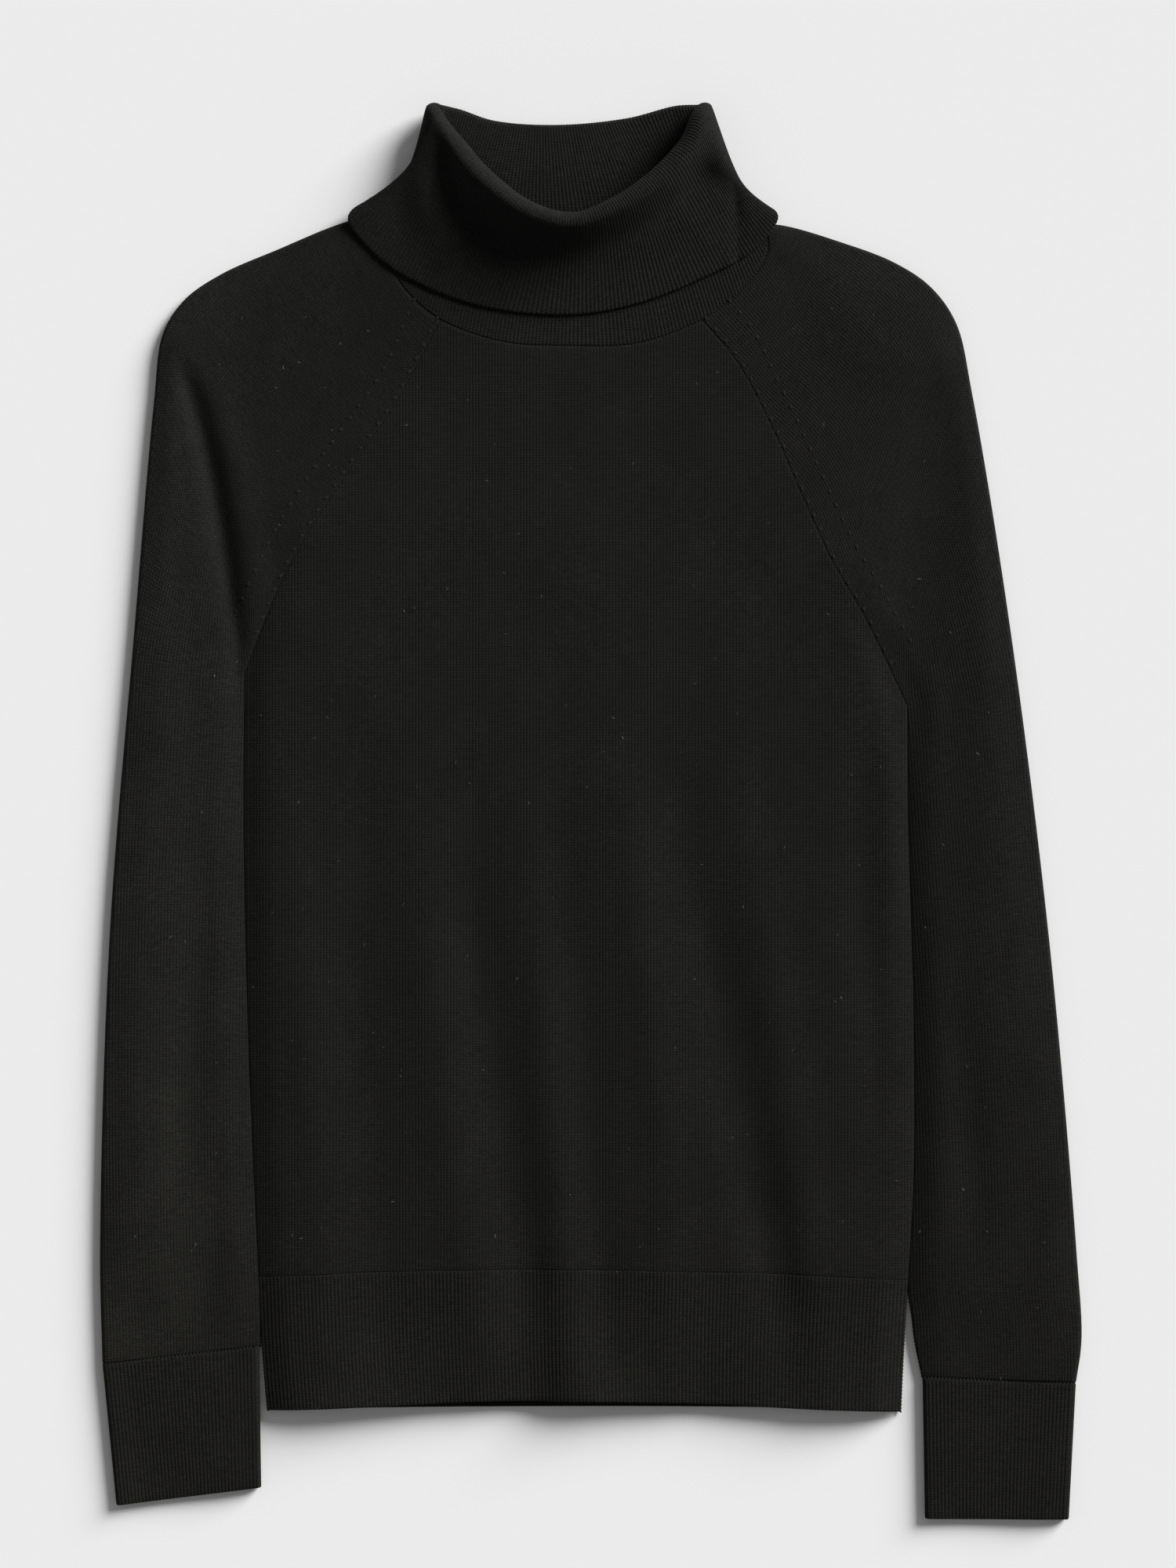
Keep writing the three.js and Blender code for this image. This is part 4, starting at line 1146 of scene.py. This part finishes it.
class SWEATER_OT_hems(bpy.types.Operator):
    """Knit the ribbed hems of front and back"""

    bl_idname = "sweater.hems"
    bl_label = "Hems"

    def execute(self, context):
        tree = rib_tree()
        ribs = rib_count(HEM_WIDTH)
        for face, rows, below in (("front", 24, "hem_back_rib"), ("back", 8, "floor")):
            v, u = grid(steps(rows, length=70), np.linspace(0, 1, ribs * HEM_RIB_COLUMNS + 1))
            knit_rib(f"hem_{face}", hem_point(v, u, face), u * ribs, tree, closed=False)
        return {"FINISHED"}


class SWEATER_OT_collar(bpy.types.Operator):
    """Knit the ribbed collar and fold it over"""

    bl_idname = "sweater.collar"
    bl_label = "Collar"

    def execute(self, context):
        ribs = sizes().collar_ribs
        stand, fall = (steps(count, length=60) for count in (12, 16))
        rows = np.concatenate([stand[:-3], 1 + np.linspace(0, 1, 11)[:-1], 2 + fall[3:]])
        v, u = grid(rows, tube_columns(ribs))
        middle = collar_point(v, even_stations(u))
        knit_rib("collar", middle, u * ribs, rib_tree(), closed=True)
        return {"FINISHED"}


def trim(piece, tree, values):
    """Grows what is on the cloth and hangs it on the root, as the cloth is."""
    grow(piece, tree, values)
    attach(piece, "root")


def stitch_along(name, paths, tree, pitch, size, turn):
    """Loops of yarn along open paths."""
    points = np.concatenate(paths)
    starts = np.cumsum([0] + [len(path) for path in paths])
    edges = [(k, k + 1) for a, b in zip(starts, starts[1:]) for k in range(a, b - 1)]
    loose = material_of("merino yarn, matte black", yarn, colours().knit)
    trim(mesh_object(name, points, edges=edges), tree, {
        "Pitch": pitch, "Size": size, "Turn": turn, "Material": loose,
    })


def raglan_path(side, face):
    row = np.linspace(0.01, 0.99, 90)
    on_body = body_point(row, 0 * row + (side is RIGHT), face)
    on_sleeve = sleeve_point(side, row, 0 * row + (face == "back"))
    return (on_body + on_sleeve) / 2


def side_path(side):
    edge = body_edge(side, np.linspace(1, 3, 120), "front")
    return raised(edge - np.array([side.sign * LINK_INSET, 0, 0]), LYING / 2)


def underarm_path(side):
    row = np.linspace(1.01, 2, 100)
    edge = sleeve_point(side, row, 0 * row)
    return raised(edge + np.array([side.sign * LINK_INSET, 0, 0]), LYING / 2)


class SWEATER_OT_seams(bpy.types.Operator):
    """Link the seams loop by loop"""

    bl_idname = "sweater.seams"
    bl_label = "Linked seams"

    def execute(self, context):
        tree = stitch_tree()
        u = np.linspace(0, 1, 160)
        faces = ("front", "back")
        seams = {
            "raglan_links": [raglan_path(side, face) for side in SIDES for face in faces],
            "neck_links": [ring_point(NECK_SEAM, np.linspace(0, STATIONS, 400))],
            "hem_links": [hem_point(0 * u, u, face) for face in faces],
            "cuff_links": [cuff_point(side, 0 * u, u) for side in SIDES],
            "side_links": [path(side) for path in (side_path, underarm_path) for side in SIDES],
        }
        for name, paths in seams.items():
            stitch_along(name, paths, tree, sizes().stitch_pitch, LINK_SIZE, LINK_TURN)
        return {"FINISHED"}


def inset_path(middle, inset):
    """A line on a wall's upper side, at a distance from its first column."""
    across = run(middle, 1)
    points = [
        [np.interp(inset, across[row], middle[row, :, axis]) for axis in range(3)]
        for row in range(*MARK_ROWS)
    ]
    return np.array(points) + np.array([0, 0, WALL / 2])


class SWEATER_OT_marks(bpy.types.Operator):
    """Put in the fashioning marks, where the knitting was narrowed along the raglan"""

    bl_idname = "sweater.marks"
    bl_label = "Fashioning marks"

    def execute(self, context):
        sleeves = [sleeve_grid(side, rows=100) for side in SIDES]
        paths = [inset_path(middle, inset) for middle in sleeves for inset in MARK_INSETS]
        stitch_along("fashioning_marks", paths, stitch_tree(), sizes().mark_pitch, MARK_SIZE, MARK_TURN)
        return {"FINISHED"}


class SWEATER_OT_lint(bpy.types.Operator):
    """Scatter a little lint over the cloth"""

    bl_idname = "sweater.lint"
    bl_label = "Lint"

    def execute(self, context):
        on_top = 50
        layers = [body_grid("front", 40, 40)]
        layers += [sleeve_grid(side, rows=60)[:, :on_top] for side in SIDES]
        points, faces, count = [], [], 0
        for layer in layers:
            rows, columns = layer.shape[:2]
            index = count + np.arange(rows * columns).reshape(rows, columns)
            points.append(layer.reshape(-1, 3) + np.array([0, 0, WALL / 2 + FIBRE_LIFT]))
            quads = np.stack([index[:-1, :-1], index[:-1, 1:], index[1:, 1:], index[1:, :-1]], -1)
            faces.append(quads.reshape(-1, 4))
            count += rows * columns
        lint = mesh_object("lint_fibres", np.concatenate(points), np.concatenate(faces))
        trim(lint, lint_tree(), {
            "Density": sizes().lint_density, "Length": FIBRE_LENGTH, "Thickness": FIBRE_THICKNESS,
            "Seed": FIBRE_SEED,
            "Material": material_of("stray wool fibre, matte grey", pale_fibre, colours().lint),
        })
        return {"FINISHED"}


OPERATORS = (
    SWEATER_OT_stage, SWEATER_OT_body, SWEATER_OT_sleeves, SWEATER_OT_cuffs, SWEATER_OT_hems,
    SWEATER_OT_collar, SWEATER_OT_seams, SWEATER_OT_marks, SWEATER_OT_lint,
)


class SWEATER_PT_panel(bpy.types.Panel):
    """Sizes, colours and pieces of the sweater"""

    bl_idname = "SWEATER_PT_panel"
    bl_label = "Turtleneck sweater"
    bl_space_type = "VIEW_3D"
    bl_region_type = "UI"
    bl_category = "Sweater"

    def draw(self, context):
        for group in (sizes(), colours()):
            for name in group.__annotations__:
                self.layout.prop(group, name)
        for operator in OPERATORS:
            self.layout.operator(operator.bl_idname)


CLASSES = (SweaterSizes, SweaterColours, *OPERATORS, SWEATER_PT_panel)


def register():
    for cls in CLASSES:
        bpy.utils.register_class(cls)
    bpy.types.Scene.sweater_sizes = bpy.props.PointerProperty(type=SweaterSizes)
    bpy.types.Scene.sweater_colours = bpy.props.PointerProperty(type=SweaterColours)


def unregister():
    del bpy.types.Scene.sweater_colours
    del bpy.types.Scene.sweater_sizes
    for cls in reversed(CLASSES):
        bpy.utils.unregister_class(cls)


def main():
    register()
    for operator in OPERATORS:
        group, name = operator.bl_idname.split(".")
        getattr(getattr(bpy.ops, group), name)()


if __name__ == "__main__":
    main()
